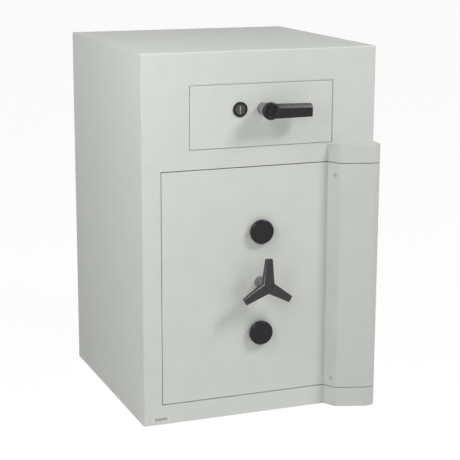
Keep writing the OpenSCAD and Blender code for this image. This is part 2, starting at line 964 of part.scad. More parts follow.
// One spoke pointing up, with its front edges bevelled and its back sloping to a thin tip
module spoke() {
    front = yf - handle_out;
    back = front + spoke_t;
    top = spoke_reach + 1;
    difference() {
        hull() {
            front_slab(front + spoke_bevel, back)
                spoke_outline(0);
            front_slab(front, back)
                spoke_outline(spoke_bevel);
        }
        side_slab(-spoke_w, spoke_w)
            polygon([[back, 0], [back + 1, 0], [back + 1, top], [front + spoke_tip_t, top]]);
    }
}

module spoke_handle() {
    hub_back = yf - handle_out + spoke_t;
    color([0.20, 0.20, 0.22])
        difference() {
            union() {
                for (a = [0, 120, 240])
                    translate([0, 0, door_mid])
                        rotate([0, a + handle_rest, 0])
                            spoke();
                bar_y(0, door_mid, yf - handle_out + hub_in, hub_back + hub_over,
                    spoke_w / 2 + hub_wide);
                bar_y(0, door_mid, hub_back, yf - boss_out - loose, boss_r - stem_step);
            }
            bar_y(0, door_mid, yf - handle_out + cap_deep, yf, spindle_r + fit);
            bar_y(0, door_mid, yf - handle_out - 1, yf - handle_out + cap_deep + 1, cap_r);
        }
}

module handle_cap() {
    color([0.14, 0.14, 0.15])
        bar_y(0, door_mid, yf - handle_out - cap_proud, yf - handle_out + cap_deep, cap_r - fit);
}

module handle_spindle() {
    color([0.70, 0.71, 0.72])
        bar_y(0, door_mid, yf - handle_out + cap_deep, pan_y1 - spindle_end, spindle_r);
}

// Involute tooth profile of the pinion, by radius
press_angle = 20;
base_r = pitch_r * cos(press_angle);
function involute(a) = tan(a) * 180 / PI - a;
function tooth_half(r) =
    90 / pinion_n - tooth_thin / pitch_r * 180 / PI + involute(press_angle)
    - involute(acos(min(1, base_r / max(r, base_r))));
function tooth_radii() =
    [for (i = [0 : 4]) max(pitch_r - tooth_ded, base_r * 0.96) + i * (pitch_r + tooth_add
        - max(pitch_r - tooth_ded, base_r * 0.96)) / 4];

module pinion() {
    radii = tooth_radii();
    step = 360 / pinion_n;
    color([0.62, 0.63, 0.64])
        difference() {
            front_slab(side_rack_y0 - 1, rod_y0 + rack_t + 1)
                translate([0, door_mid])
                    polygon([for (k = [0 : pinion_n - 1]) each concat(
                        [for (r = radii) r * [cos(k * step - tooth_half(r)), sin(k * step - tooth_half(r))]],
                        [for (i = [4 : -1 : 0]) radii[i] * [cos(k * step + tooth_half(radii[i])),
                            sin(k * step + tooth_half(radii[i]))]])]);
            bar_y(0, door_mid, yf, yf + door_d, spindle_r + fit);
        }
}

// Rack teeth along x from s0 to s1, pitch line at zero, pointing up, over a bar
module rack(s0, s1, beta, depth) {
    phase = tooth_pitch / 2 - beta * PI / 180 * pitch_r;
    half = tooth_pitch / 4 - tooth_thin;
    slope = tan(press_angle);
    for (k = [ceil((s0 - phase) / tooth_pitch) : floor((s1 - phase) / tooth_pitch)])
        translate([phase + k * tooth_pitch, 0])
            polygon([
                [-half - tooth_ded * slope, -tooth_ded - 0.1],
                [half + tooth_ded * slope, -tooth_ded - 0.1],
                [half - tooth_add * slope, tooth_add],
                [-half + tooth_add * slope, tooth_add]
            ]);
    translate([s0 - rack_end, -tooth_ded - depth])
        square([s1 - s0 + 2 * rack_end, depth]);
}

rack_lead = 10;
rack_run = bolt_travel + rack_lead;
rack_end = 3;

module side_bolt_bar() {
    color([0.66, 0.67, 0.68]) {
        difference() {
            span(bar_x0, bar_x0 + bar_t, side_rack_y0, by + bolt_r,
                bolt_zs[0] - bar_over, bolt_zs[2] + bar_over);
            for (z = bolt_zs)
                bar_x(by, z, bar_x0 - 1, bar_x0 + bar_t + 1, tail_r + fit);
        }
        front_slab(side_rack_y0, side_rack_y0 + rack_t)
            translate([0, door_mid - pitch_r]) {
                rack(-rack_lead, rack_run, 270, rod_w);
                translate([bar_x0, -tooth_ded - rod_w])
                    square([-rack_lead - bar_x0, rod_w]);
            }
    }
}

module side_bolts() {
    color([0.76, 0.77, 0.78])
        for (z = bolt_zs) {
            bar_x(by, z, side_tip, bar_x0, bolt_r);
            bar_x(by, z, bar_x0 - 1, bar_x0 + bar_t + tail_out, tail_r);
        }
}

// Rod with its rack, two lock windows and a bolt, built pointing up on the left side
module rod_bolt() {
    rod_x0 = -rod_in - rod_w;
    window_x = lock_edge + lock_throw + window_play;
    bolt_len = 52;
    tip_z = qz1 - door_mid + bolt_out;
    difference() {
        union() {
            front_slab(rod_y0, rod_y0 + rack_t) {
                translate([-pitch_r, 0])
                    rotate([0, 0, -90])
                        rack(-rack_lead, rack_run, 180, rod_w);
                translate([rod_x0, -rack_run])
                    square([rod_w, tip_z - bolt_len + 1 + rack_run]);
            }
            bar_z(-rod_mid, by, tip_z - bolt_len, tip_z, bolt_r);
        }
        for (z = [lock_pitch, lock_pitch - bolt_travel])
            span(-window_x, 0, rod_y0 - 1, rod_y0 + rack_t + 1, z - lock_window / 2,
                z + lock_window / 2);
    }
}

module top_bolt() {
    color([0.76, 0.77, 0.78])
        translate([0, 0, door_mid])
            rod_bolt();
}

module bottom_bolt() {
    color([0.76, 0.77, 0.78])
        translate([0, 0, door_mid])
            rotate([0, 180, 0])
                rod_bolt();
}

module drawer_front() {
    color([0.82, 0.83, 0.81])
        difference() {
            span(wx0, wx1, yf, yf + drawer_t, wz0, wz1);
            bar_y(lever_x, lever_z, yf - 1, yf + drawer_t + 1, lever_spindle_r + loose);
            bar_y(lock_x, lever_z, yf - 1, yf + drawer_t + 1, lock_plug_r + lock_barrel_t + fit);
        }
}

module drawer_standoffs() {
    color([0.62, 0.63, 0.64])
        for (x = [wx0 + standoff_x, wx1 - standoff_x], z = [tray_z + standoff_z, box_z1 - standoff_z])
            bar_y(x, z, yf + drawer_t, box_y0, standoff_r);
}

module drawer_box() {
    lug_z0 = tip_z - eye_r;
    color([0.70, 0.71, 0.70]) {
        difference() {
            span(box_x0, box_x1, box_y0, box_y1, tray_z + tray_gap, box_z1);
            span(box_x0 + box_t, box_x1 - box_t, box_y0 + box_t, box_y1 - box_t, tray_z, box_z1 + 1);
        }
        for (s = [0, 1])
            difference() {
                span(s == 0 ? box_x0 : box_x1 - box_t, s == 0 ? box_x0 + box_t : box_x1,
                    box_y0, tip_y + lug_over, lug_z0, tray_z + tray_lip);
                bar_x(tip_y, tip_z, box_x0 - 1, box_x1 + 1, tip_pin_r + fit);
            }
        span(box_x0 + box_t, box_x1 - box_t, box_y0, tip_y - eye_r - loose,
            tray_z + tray_gap - box_t, tray_z + tray_lip);
    }
}

module drawer_floor() {
    color([0.70, 0.71, 0.70])
        translate([0, tip_y, tip_z])
            rotate([-tip_angle, 0, 0])
                difference() {
                    union() {
                        span(box_x0 + box_t + tray_gap, box_x1 - box_t - tray_gap,
                            0, box_y1 - tip_y - box_t - tray_gap,
                            eye_r - box_t, eye_r);
                        bar_x(0, 0, box_x0 + box_t + tray_gap, box_x1 - box_t - tray_gap, eye_r);
                    }
                    bar_x(0, 0, box_x0, box_x1, tip_pin_r + fit);
                }
}

module floor_pin() {
    color([0.76, 0.77, 0.78])
        bar_x(tip_y, tip_z, box_x0, box_x1, tip_pin_r);
}

rose_t = 6;
arm_deep = 18;
arm_in = 2;
arm_bevel_h = 10;
arm_bevel_y = 7;
hub_dish = 4;
hub_rim = 8;
hub_cap_in = 2;
hub_step = 2;

module lever_boss() {
    color([0.42, 0.41, 0.42])
        difference() {
            bar_y(lever_x, lever_z, yf - rose_t, yf, neck_r);
            bar_y(lever_x, lever_z, yf - rose_t - 1, yf + 1, lever_spindle_r + loose);
        }
}

module lever_handle() {
    front = yf - lever_out;
    arm_back = front + arm_deep;
    bevel_z = lever_h / 2 - arm_bevel_h;
    neck_y0 = arm_back - hub_step - 1;
    color([0.20, 0.20, 0.22])
        difference() {
            union() {
                translate([lever_x, 0, lever_z])
                    rotate([0, lever_rest, 0])
                        side_slab(0, lever_reach)
                            polygon([[front + arm_in, -lever_h / 2], [arm_back, -lever_h / 2],
                                [arm_back, lever_h / 2],
                                [front + arm_in + arm_bevel_y, lever_h / 2],
                                [front + arm_in, bevel_z]]);
                bar_y(lever_x, lever_z, front, arm_back - hub_step, hub_r);
                translate([lever_x, yf - rose_t - loose, lever_z])
                    rotate([90, 0, 0])
                        cylinder(h = yf - rose_t - loose - neck_y0, r1 = neck_r, r2 = hub_r - 1);
            }
            bar_y(lever_x, lever_z, front - 1, front + hub_dish, hub_r - hub_rim);
            bar_y(lever_x, lever_z, front + 2 * hub_dish, yf, lever_spindle_r + fit);
        }
}

module lever_cap() {
    color([0.12, 0.12, 0.13])
        bar_y(lever_x, lever_z, yf - lever_out + 1, yf - lever_out + hub_dish, hub_r - hub_rim - hub_cap_in);
}

module lever_spindle() {
    color([0.70, 0.71, 0.72])
        bar_y(lever_x, lever_z, yf - lever_out + 2 * hub_dish, latch_y0 + latch_t + 1, lever_spindle_r);
}

module latch_cam() {
    color([0.66, 0.67, 0.68])
        difference() {
            union() {
                bar_y(lever_x, lever_z, latch_y0, latch_y0 + latch_t, lever_spindle_r + latch_rim);
                span(lever_x, lever_x + latch_len, latch_y0, latch_y0 + latch_t,
                    lever_z - latch_w / 2, lever_z + latch_w / 2);
            }
            bar_y(lever_x, lever_z, latch_y0 - 1, latch_y0 + latch_t + 1, lever_spindle_r + fit);
        }
}

lock_out = 2.5;
lock_barrel_t = 2.5;
slot_w = 3.2;
slot_h = 22;
slot_deep = 12;

module drawer_lock() {
    color([0.18, 0.18, 0.19])
        difference() {
            union() {
                bar_y(lock_x, lever_z, yf - lock_out, yf, lock_face_r);
                bar_y(lock_x, lever_z, yf - 1, cam_y0 - loose, lock_plug_r + lock_barrel_t);
            }
            bar_y(lock_x, lever_z, yf - lock_out - 1, cam_y0, lock_plug_r + fit);
        }
}

module lock_plug() {
    color([0.24, 0.24, 0.25])
        difference() {
            union() {
                bar_y(lock_x, lever_z, yf - lock_out, cam_y0 + cam_t, lock_plug_r);
                span(lock_x - cam_len, lock_x, cam_y0, cam_y0 + cam_t,
                    lever_z - cam_w / 2, lever_z + cam_w / 2);
            }
            span(lock_x - slot_w / 2, lock_x + slot_w / 2, yf - lock_out - 1, yf + slot_deep,
                lever_z - slot_h / 2, lever_z + slot_h / 2);
        }
}

outer_casing();
front_frame();
barrier_fill();
inner_liner();
liner_floor();
keeper_left();
keeper_right();
head_keeper();
hinge_block_top();
hinge_block_bottom();
hinge_pins();
thrust_washer();
rating_plate();
shelf();
shelf_pins();
drawer_housing();
runner_fixed();
fishing_baffle();
door_plate();
hardplate();
door_fill();
door_pan();
door_back_cover();
cover_screws();
hinge_tube();
hinge_bushes();
column_cover();
column_plugs();
dog_bolts();
key_tubes();
lock_cases();
escutcheon_upper();
escutcheon_lower();
spindle_bush();
spoke_handle();
handle_cap();
handle_spindle();
pinion();
side_bolt_bar();
side_bolts();
top_bolt();
bottom_bolt();
lock_bolt_upper();
lock_bolt_lower();
key_cover_upper();
key_cover_lower();
drawer_front();
drawer_standoffs();
drawer_box();
drawer_floor();
floor_pin();
runner_drawer();
runner_middle();
lever_boss();
lever_handle();
lever_cap();
lever_spindle();
latch_cam();
drawer_lock();
lock_plug();
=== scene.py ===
# %% [markdown]
# # A deposit safe, dressed in Blender
# The steel body, the door, the bolt work and the drawer come from the CAD frame, which
# stays where it is. This lesson gives every surface its finish, and makes the pieces whose
# edges and mouldings catch the light again by hand: the welded casing, the door leaf, the
# hinge column, the handles and the locks. Lengths are in metres, as in the frame.

# %% Load the frame
import json
import math

import bmesh
import bpy
from mathutils import Matrix, Vector

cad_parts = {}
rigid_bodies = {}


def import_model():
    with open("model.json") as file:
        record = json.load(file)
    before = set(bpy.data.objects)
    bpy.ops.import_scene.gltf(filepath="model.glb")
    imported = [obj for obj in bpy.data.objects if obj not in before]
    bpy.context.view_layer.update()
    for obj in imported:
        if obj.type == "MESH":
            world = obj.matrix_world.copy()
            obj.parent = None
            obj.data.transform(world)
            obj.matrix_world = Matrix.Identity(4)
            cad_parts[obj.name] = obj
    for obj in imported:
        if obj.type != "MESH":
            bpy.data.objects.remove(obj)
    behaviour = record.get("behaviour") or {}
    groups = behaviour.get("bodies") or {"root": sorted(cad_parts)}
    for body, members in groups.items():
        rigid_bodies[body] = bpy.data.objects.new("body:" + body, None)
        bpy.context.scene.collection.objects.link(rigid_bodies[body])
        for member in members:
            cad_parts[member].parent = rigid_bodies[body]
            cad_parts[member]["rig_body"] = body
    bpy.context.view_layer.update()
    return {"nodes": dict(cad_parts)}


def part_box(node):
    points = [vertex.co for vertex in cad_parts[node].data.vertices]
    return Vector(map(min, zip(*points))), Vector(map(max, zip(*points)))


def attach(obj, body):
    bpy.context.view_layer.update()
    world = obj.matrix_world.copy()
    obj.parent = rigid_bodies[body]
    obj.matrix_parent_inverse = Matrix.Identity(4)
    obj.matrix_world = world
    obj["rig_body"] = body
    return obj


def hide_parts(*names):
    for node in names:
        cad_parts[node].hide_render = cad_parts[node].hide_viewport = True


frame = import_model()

mm = 0.001
print("nodes in the frame:", len(frame["nodes"]))

# %% [markdown]
# ## The camera
# The photograph was taken from the left of the safe and a little above its top, with a
# long lens that keeps the upright edges almost parallel. The camera is set first, since
# every piece is judged through it. Its place, its two angles and its slight roll were
# worked out from the corners of the body, so it is turned by a matrix and not by eye.

# %% Camera
camera_at = Vector((-1.2721, -3.3345, 1.2279))
camera_yaw, camera_pitch, camera_roll = (math.radians(a) for a in (-21.428, 13.048, 0.239))
lens = 109.46

camera = bpy.data.objects.new("camera", bpy.data.cameras.new("camera"))
bpy.context.scene.collection.objects.link(camera)
camera.data.lens = lens
camera.data.sensor_width = 36
level = Vector((-math.sin(camera_yaw), math.cos(camera_yaw), 0))
right = Vector((math.cos(camera_yaw), math.sin(camera_yaw), 0))
up = Vector((0, 0, 1))
ahead = level * math.cos(camera_pitch) - up * math.sin(camera_pitch)
above = up * math.cos(camera_pitch) + level * math.sin(camera_pitch)
side = right * math.cos(camera_roll) + above * math.sin(camera_roll)
above = above * math.cos(camera_roll) - right * math.sin(camera_roll)
turned = Matrix((side, above, -ahead)).transposed()
camera.matrix_world = Matrix.Translation(camera_at) @ turned.to_4x4()
bpy.context.scene.camera = camera
bpy.context.scene.view_settings.view_transform = "Standard"
print("camera", [round(v, 3) for v in camera.location], "lens", lens)

# %% [markdown]
# ## The bench
# Each piece starts as a primitive at its size and place, is shaped in edit mode, and is
# finished with modifiers. These few helpers hold the moves that come back all the time:
# picking a piece, starting a block or a round bar, and using one edit-mode tool on the
# faces or edges that pass a test. The test works by place, because code can't click.

# %% Starting shapes
def pick(*pieces):
    """Selects these pieces alone, and makes the first one active."""
    bpy.ops.object.select_all(action="DESELECT")
    for piece in pieces:
        piece.select_set(True)
    bpy.context.view_layer.objects.active = pieces[0]


def settle(name):
    """Names the new primitive and moves its place into its mesh."""
    piece = bpy.context.object
    piece.name = piece.data.name = name
    bpy.ops.object.transform_apply(location=True, rotation=True, scale=True)
    return piece


def block(name, low, high):
    """A block between two corners."""
    low, high = Vector(low), Vector(high)
    bpy.ops.object.select_all(action="DESELECT")
    bpy.ops.mesh.primitive_cube_add(size=1, location=(low + high) / 2, scale=high - low)
    return settle(name)


def bar(name, at, radius, start, end, axis="Y", steps=96):
    """A round bar along an axis, from start to end, with its centre line at the pair at."""
    middle = (start + end) / 2
    place = {"X": (middle, *at), "Y": (at[0], middle, at[1]), "Z": (*at, middle)}[axis]
    turn = {"X": (0, math.pi / 2, 0), "Y": (math.pi / 2, 0, 0), "Z": (0, 0, 0)}[axis]
    bpy.ops.object.select_all(action="DESELECT")
    bpy.ops.mesh.primitive_cylinder_add(
        vertices=steps, radius=radius, depth=end - start, location=place, rotation=turn)
    return settle(name)


# %% Tools for edit mode and solids
near = 0.02 * mm


def middle(part):
    """The middle of a face or an edge in edit mode."""
    return sum((v.co for v in part.verts), Vector()) / len(part.verts)


def edit(piece, kind, test, tool, **settings):
    """Uses one edit-mode tool on the faces, edges or points that pass the test."""
    pick(piece)
    bpy.ops.object.mode_set(mode="EDIT")
    bpy.ops.mesh.select_mode(type=kind)
    bpy.ops.mesh.select_all(action="DESELECT")
    mesh = bmesh.from_edit_mesh(piece.data)
    parts = {"VERT": mesh.verts, "EDGE": mesh.edges, "FACE": mesh.faces}[kind]
    chosen = [part for part in parts if test(part)]
    for part in chosen:
        part.select_set(True)
    mesh.select_flush_mode()
    bmesh.update_edit_mesh(piece.data)
    tool(**settings)
    bpy.ops.object.mode_set(mode="OBJECT")
    return len(chosen)


def everything(part):
    return True


def bevel(piece, test, width, steps=3):
    """Rounds the edges that pass the test."""
    return edit(piece, "EDGE", test, bpy.ops.mesh.bevel, offset=width, segments=steps,
                profile=0.5, affect="EDGES", clamp_overlap=True)


def solid(piece, tool, way="DIFFERENCE"):
    """Cuts one solid out of another, or joins them, and removes the second."""
    pick(piece)
    step = piece.modifiers.new(way.lower(), "BOOLEAN")
    step.operation, step.solver, step.object = way, "EXACT", tool
    bpy.ops.object.modifier_apply(modifier=step.name)
    bpy.data.objects.remove(tool)


def slice_off(piece, point, outward):
    """Cuts a piece by a plane, drops what lies beyond it and closes the cut."""
    edit(piece, "FACE", everything, bpy.ops.mesh.bisect, plane_co=point,
         plane_no=Vector(outward).normalized(), use_fill=True, clear_outer=True)


def soft_edges(piece, width, steps=2, angle=35):
    """Rounds every edge sharper than the angle."""
    pick(piece)
    step = piece.modifiers.new("soft edges", "BEVEL")
    step.width, step.segments, step.limit_method = width, steps, "ANGLE"
    step.angle_limit = math.radians(angle)
    bpy.ops.object.modifier_apply(modifier=step.name)


def shade(piece, angle=40):
    """Shades curves smoothly, and keeps the flats flat by weighting normals by area."""
    pick(piece)
    bpy.ops.object.shade_smooth_by_angle(angle=math.radians(angle))
    step = piece.modifiers.new("flat flats", "WEIGHTED_NORMAL")
    step.keep_sharp, step.weight = True, 80
    bpy.ops.object.modifier_apply(modifier=step.name)


# %% [markdown]
# ## The finishes
# A real finish is never one flat colour. Paint has a faint orange peel and drifts a little
# in tone, moulded plastic has a fine spark-eroded grain, and steel shows the lines of the
# tool that cut it. All of them can be made from noise on the object's own coordinates:
# one noise drives the tone, another the roughness, and the finest one a shallow bump.
# Noise keeps its size in metres that way, and never slides when a piece moves.

# %% Helpers for finishes
def shown(*levels):
    """A colour as a screen shows it, 0 to 255, turned into the one a shader reads."""
    return (*(((c / 255 + 0.055) / 1.055) ** 2.4 for c in levels), 1.0)


def node(tree, kind, sockets, **settings):
    """Adds a shader node. A socket's value may be a number or another node's output."""
    made = tree.nodes.new("ShaderNode" + kind)
    for name, value in settings.items():
        setattr(made, name, value)
    for name, value in sockets.items():
        if isinstance(value, bpy.types.NodeSocket):
            tree.links.new(value, made.inputs[name])
        else:
            made.inputs[name].default_value = value
    return made


def noise(tree, place, scale, detail, stretch):
    """Noise with features about 1 / scale metres wide, drawn out along an axis if asked."""
    if stretch != (1, 1, 1):
        place = node(tree, "Mapping", {"Vector": place, "Scale": stretch}).outputs[0]
    made = node(tree, "TexNoise", {"Vector": place, "Scale": scale, "Detail": detail})
    return made.outputs[0]


patch_detail, grain_detail, grain_strength = 4.0, 3.0, 0.5
tone_span, dull_span = (0.7, 1.3), (0.35, 0.65)


def finish(name, tones, rough, patch, grain, depth, metal=0.0, stretch=(1, 1, 1), gloss=0.5):
    """A finish: two tones, two roughnesses, the sizes of patch and grain, and grain depth."""
    material = bpy.data.materials.new(name)
    material.use_nodes = True
    tree = material.node_tree
    shader = tree.nodes["Principled BSDF"]
    shader.inputs["Metallic"].default_value = metal
    shader.inputs["Specular IOR Level"].default_value = gloss
    place = node(tree, "TexCoord", {}).outputs["Object"]
    broad = noise(tree, place, 1 / patch, patch_detail, stretch)
    fine = noise(tree, place, 1 / grain, grain_detail, stretch)
    both = node(tree, "Math", {0: broad, 1: fine}, operation="ADD").outputs[0]
    spread = node(tree, "MapRange", {"Value": both, "From Min": tone_span[0],
                                     "From Max": tone_span[1]})
    ramp = node(tree, "ValToRGB", {"Fac": spread.outputs[0]})
    for stop, tone in zip(ramp.color_ramp.elements, tones):
        stop.color = shown(*tone)
    tree.links.new(ramp.outputs[0], shader.inputs["Base Color"])
    dull = node(tree, "MapRange", {"Value": broad, "From Min": dull_span[0],
                                   "From Max": dull_span[1],
                                   "To Min": rough[0], "To Max": rough[1]})
    tree.links.new(dull.outputs[0], shader.inputs["Roughness"])
    bump = node(tree, "Bump", {"Height": fine, "Strength": grain_strength, "Distance": depth})
    tree.links.new(bump.outputs[0], shader.inputs["Normal"])
    return material


# %% The finishes of the safe
finishes = {
    "body_paint": finish("body_paint", [(203, 206, 201), (208, 211, 206)], (0.46, 0.54),
                         60 * mm, 1.6 * mm, 0.06 * mm),
    # The column's paint is the body paint a few levels darker: painted shade on the whole
    # column.
    "column_painted_shade": finish("column_painted_shade", [(197, 200, 195), (202, 205, 200)], (0.46, 0.54),
                           60 * mm, 1.6 * mm, 0.06 * mm),
    "inside_paint": finish("inside_paint", [(184, 187, 183), (190, 193, 189)], (0.48, 0.56),
                           60 * mm, 1.6 * mm, 0.06 * mm),
    "steel": finish("steel", [(142, 144, 147), (160, 162, 164)], (0.38, 0.50),
                    30 * mm, 0.7 * mm, 0.02 * mm, metal=1.0, stretch=(1, 1, 0.08)),
    "bright_steel": finish("bright_steel", [(176, 178, 181), (196, 198, 200)], (0.20, 0.32),
                           20 * mm, 0.5 * mm, 0.01 * mm, metal=1.0, stretch=(6, 1, 1)),
    "zinc_steel": finish("zinc_steel", [(172, 176, 184), (194, 195, 190)], (0.30, 0.42),
                         9 * mm, 0.8 * mm, 0.01 * mm, metal=1.0),
    "bronze": finish("bronze", [(168, 128, 74), (190, 150, 94)], (0.34, 0.46),
                     10 * mm, 0.6 * mm, 0.02 * mm, metal=1.0),
    "lock_brass": finish("lock_brass", [(178, 154, 96), (196, 174, 116)], (0.32, 0.44),
                         14 * mm, 0.7 * mm, 0.02 * mm, metal=1.0),
    "plate_aluminium": finish("plate_aluminium", [(208, 206, 198), (220, 219, 211)],
                              (0.34, 0.46), 6 * mm, 0.3 * mm, 0.01 * mm, metal=0.15,
                              stretch=(0.05, 1, 1)),
    "plate_field": finish("plate_field", [(150, 151, 160), (166, 167, 174)], (0.40, 0.50),
                          4 * mm, 0.3 * mm, 0.01 * mm, metal=0.15, stretch=(0.05, 1, 1)),
    # plug_grey is darker than the body paint: painted shade on the column's plugs. On the
    # lock's wards it is a painted reflection, a light grey in place of the steel's shine.
    "plug_grey": finish("plug_grey", [(170, 171, 170), (178, 179, 177)], (0.40, 0.50),
                        4 * mm, 0.5 * mm, 0.02 * mm),
    "satin_grey": finish("satin_grey", [(104, 102, 102), (116, 113, 113)], (0.34, 0.46),
                         8 * mm, 0.5 * mm, 0.03 * mm),
    # The boss's grey is the satin grey a touch lighter: painted light against the handle's
    # shadow on the boss and the handle's neck.
    "boss_painted_light_grey": finish("boss_painted_light_grey", [(106, 100, 101), (120, 114, 115)], (0.34, 0.46),
                        8 * mm, 0.5 * mm, 0.03 * mm),
    "black_plastic": finish("black_plastic", [(13, 15, 19), (19, 21, 26)], (0.12, 0.16),
                            12 * mm, 0.5 * mm, 0.006 * mm, gloss=0.32),
    "handle_black": finish("handle_black", [(15, 14, 19), (22, 21, 27)], (0.24, 0.32),
                           12 * mm, 0.6 * mm, 0.012 * mm, gloss=0.6),
    "lever_black": finish("lever_black", [(11, 11, 14), (16, 16, 20)], (0.22, 0.28),
                          12 * mm, 0.6 * mm, 0.012 * mm, gloss=0.35),
    "lock_grey": finish("lock_grey", [(52, 53, 52), (72, 72, 70)], (0.30, 0.42),
                        3 * mm, 0.4 * mm, 0.03 * mm),
    "fill": finish("fill", [(140, 138, 131), (170, 168, 160)], (0.85, 0.95),
                   12 * mm, 2.0 * mm, 0.4 * mm),
}
for name, piece in frame["nodes"].items():
    for slot in piece.material_slots:
        slot.material = finishes[slot.material.name.split(".")[0]]
print("finishes:", ", ".join(finishes))


def fit(piece, body, paint, *nodes, slot=None):
    """Finishes a piece, hangs it on its body and lets it stand for its CAD nodes."""
    piece.data.materials.clear()
    piece.data.materials.append(finishes[paint])
    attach(piece, body)
    if nodes:
        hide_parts(*nodes)
    size = [round(v / mm, 1) for v in piece.dimensions]
    print(f"{piece.name}: {size} mm, {len(piece.data.polygons)} faces")


# %% [markdown]
# ## The casing
# On the real safe the outer skin and the front frame are welded, ground flush and painted
# as one, so no joint shows, only rounded corners and two crisp openings. It could be built
# from five plates, but one block is truer: its edges are rounded first, the ones round the
# foot far less, and then the hollow, the openings and the floor anchor holes are cut out of
# it. Each opening is cut twice, a narrow one right through the frame and a wider one that is
# only a step deep. The eye meets that step first, so the gap reads as a soft line and not as
# a black one.

# %% Casing
low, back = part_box("outer_casing")
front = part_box("front_frame")[0].y
low = Vector((low.x, front, low.z))
skin, frame_t, step_gap, step_deep = 3 * mm, 6 * mm, 2.5 * mm, 1.8 * mm
edge_round, foot_round, mouth_round = 4 * mm, 1 * mm, 1.3 * mm

casing = block("casing", low, back)
bevel(casing, lambda e: any(v.co.z > low.z + near for v in e.verts), edge_round, 5)
bevel(casing, lambda e: all(v.co.z < low.z + near for v in e.verts), foot_round, 2)
solid(casing, block("hollow", low + Vector((skin, frame_t, skin)), back - Vector((skin,) * 3)))

openings = [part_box("door_plate"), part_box("drawer_front")]
# Each narrow cut passes its plate by this much at the left, the right, below and above.
narrow_gaps = [(1.0 * mm, 1.0 * mm, 1.6 * mm, 1.9 * mm),
               (0.55 * mm, 0.8 * mm, 0.8 * mm, 0.45 * mm)]
for (lowest, highest), narrow in zip(openings, narrow_gaps):
    for (at_left, at_right, below, over), deep in [(narrow, frame_t + mm),
                                                   ((step_gap,) * 4, step_deep)]:
        solid(casing, block("opening", (lowest.x - at_left, front - mm, lowest.z - below),
                            (highest.x + at_right, front + deep, highest.z + over)))


def on_mouth(e):
    """Whether an edge lies in the front face, on the rim of an opening's wide step."""
    at = middle(e)
    return (all(abs(v.co.y - front) < near for v in e.verts)
            and low.z + edge_round < at.z < back.z - 2 * edge_round
            and abs(at.x) < back.x - 2 * edge_round
            and any(abs(abs(at.x - (a.x + b.x) / 2) - (b.x - a.x) / 2 - step_gap) < near
                    or abs(abs(at.z - (a.z + b.z) / 2) - (b.z - a.z) / 2 - step_gap) < near
                    for a, b in openings))


mouth = bevel(casing, on_mouth, mouth_round, 2)
anchor_at, anchor_r = (150 * mm, 125 * mm), 9 * mm
for x, y in [(1, 1), (1, -1), (-1, 1), (-1, -1)]:
    solid(casing, bar("anchor", (x * anchor_at[0], y * anchor_at[1]), anchor_r,
                      -skin, 2 * skin, "Z", 64))
shade(casing)
fit(casing, "safe_body", "body_paint", "outer_casing", "front_frame")
print("edges rounded round the two openings:", mouth)

# %% [markdown]
# ## The door leaf and the drawer's face
# Both are flat plates, cut from steel with their arrises eased before painting. That small
# radius draws the thin light line beside each dark gap, so the plates are blocks with
# rounded edges. The holes for the spindle, the keys and the lock go through them.

# %% Plates
arris, bush_hole_r, key_hole_r = 1.4 * mm, 11.05 * mm, 8.05 * mm
lever_hole_r, lock_hole_r = 6.3 * mm, 15.05 * mm
front_plates = {
    "door_leaf": ("door_plate", "door",
                  [("spindle_bush", bush_hole_r), ("key_cover_upper", key_hole_r),
                   ("key_cover_lower", key_hole_r)]),
    "drawer_face": ("drawer_front", "drawer",
                    [("lever_spindle", lever_hole_r), ("drawer_lock", lock_hole_r)]),
}
for name, (replaced, body, holes) in front_plates.items():
    lowest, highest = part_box(replaced)
    plate = block(name, lowest, highest)
    bevel(plate, everything, arris, 3)
    for carrier, radius in holes:
        a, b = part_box(carrier)
        solid(plate, bar("hole", ((a.x + b.x) / 2, (a.z + b.z) / 2), radius,
                         lowest.y - mm, highest.y + mm, steps=64))
    shade(plate)
    fit(plate, body, "body_paint", replaced)

# %% [markdown]
# ## The hinge column
# The column is a cover folded from thin sheet: a slope beside the door's seam, a broad face
# that turns a little outwards, and a round nose about the hinge axis. The two short blocks
# above and below it have the same outline and stay on the body. All three are cut from a
# block by two planes, and the nose is a wide bevel whose width is worked out from its
# radius. The cover is then hollowed by the same shape, smaller by the sheet's thickness.
# All three take a darker copy of the body paint, which is painted shade on the column.

# %% Column outline
cover_low, cover_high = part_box("column_cover")
door_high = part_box("door_plate")[1]
nose_r, sheet = 28 * mm, 2.5 * mm
slope_w, slope_out, fold = 17 * mm, 33 * mm, 3 * mm
hinge = Vector((cover_high.x - nose_r, cover_low.y + nose_r, 0))
seam = Vector((cover_low.x, front, 0))
corner = seam + Vector((slope_w, -slope_out, 0))
slope_normal = Vector((-slope_out, -slope_w, 0)).normalized()
to_corner = corner - hinge
lean = math.atan2(to_corner.y, to_corner.x) + math.acos(nose_r / to_corner.length)
face_normal = Vector((math.cos(lean), math.sin(lean), 0))
nose_corner = math.pi - face_normal.angle(Vector((1, 0, 0)))
face_foot = hinge + face_normal * nose_r
print("the column's face turns outwards by", round(-90 - math.degrees(lean), 1), "degrees")


shortest_upright = 5 * mm


def upright(e):
    """Whether an edge runs straight up."""
    return abs(e.verts[0].co.z - e.verts[1].co.z) > shortest_upright


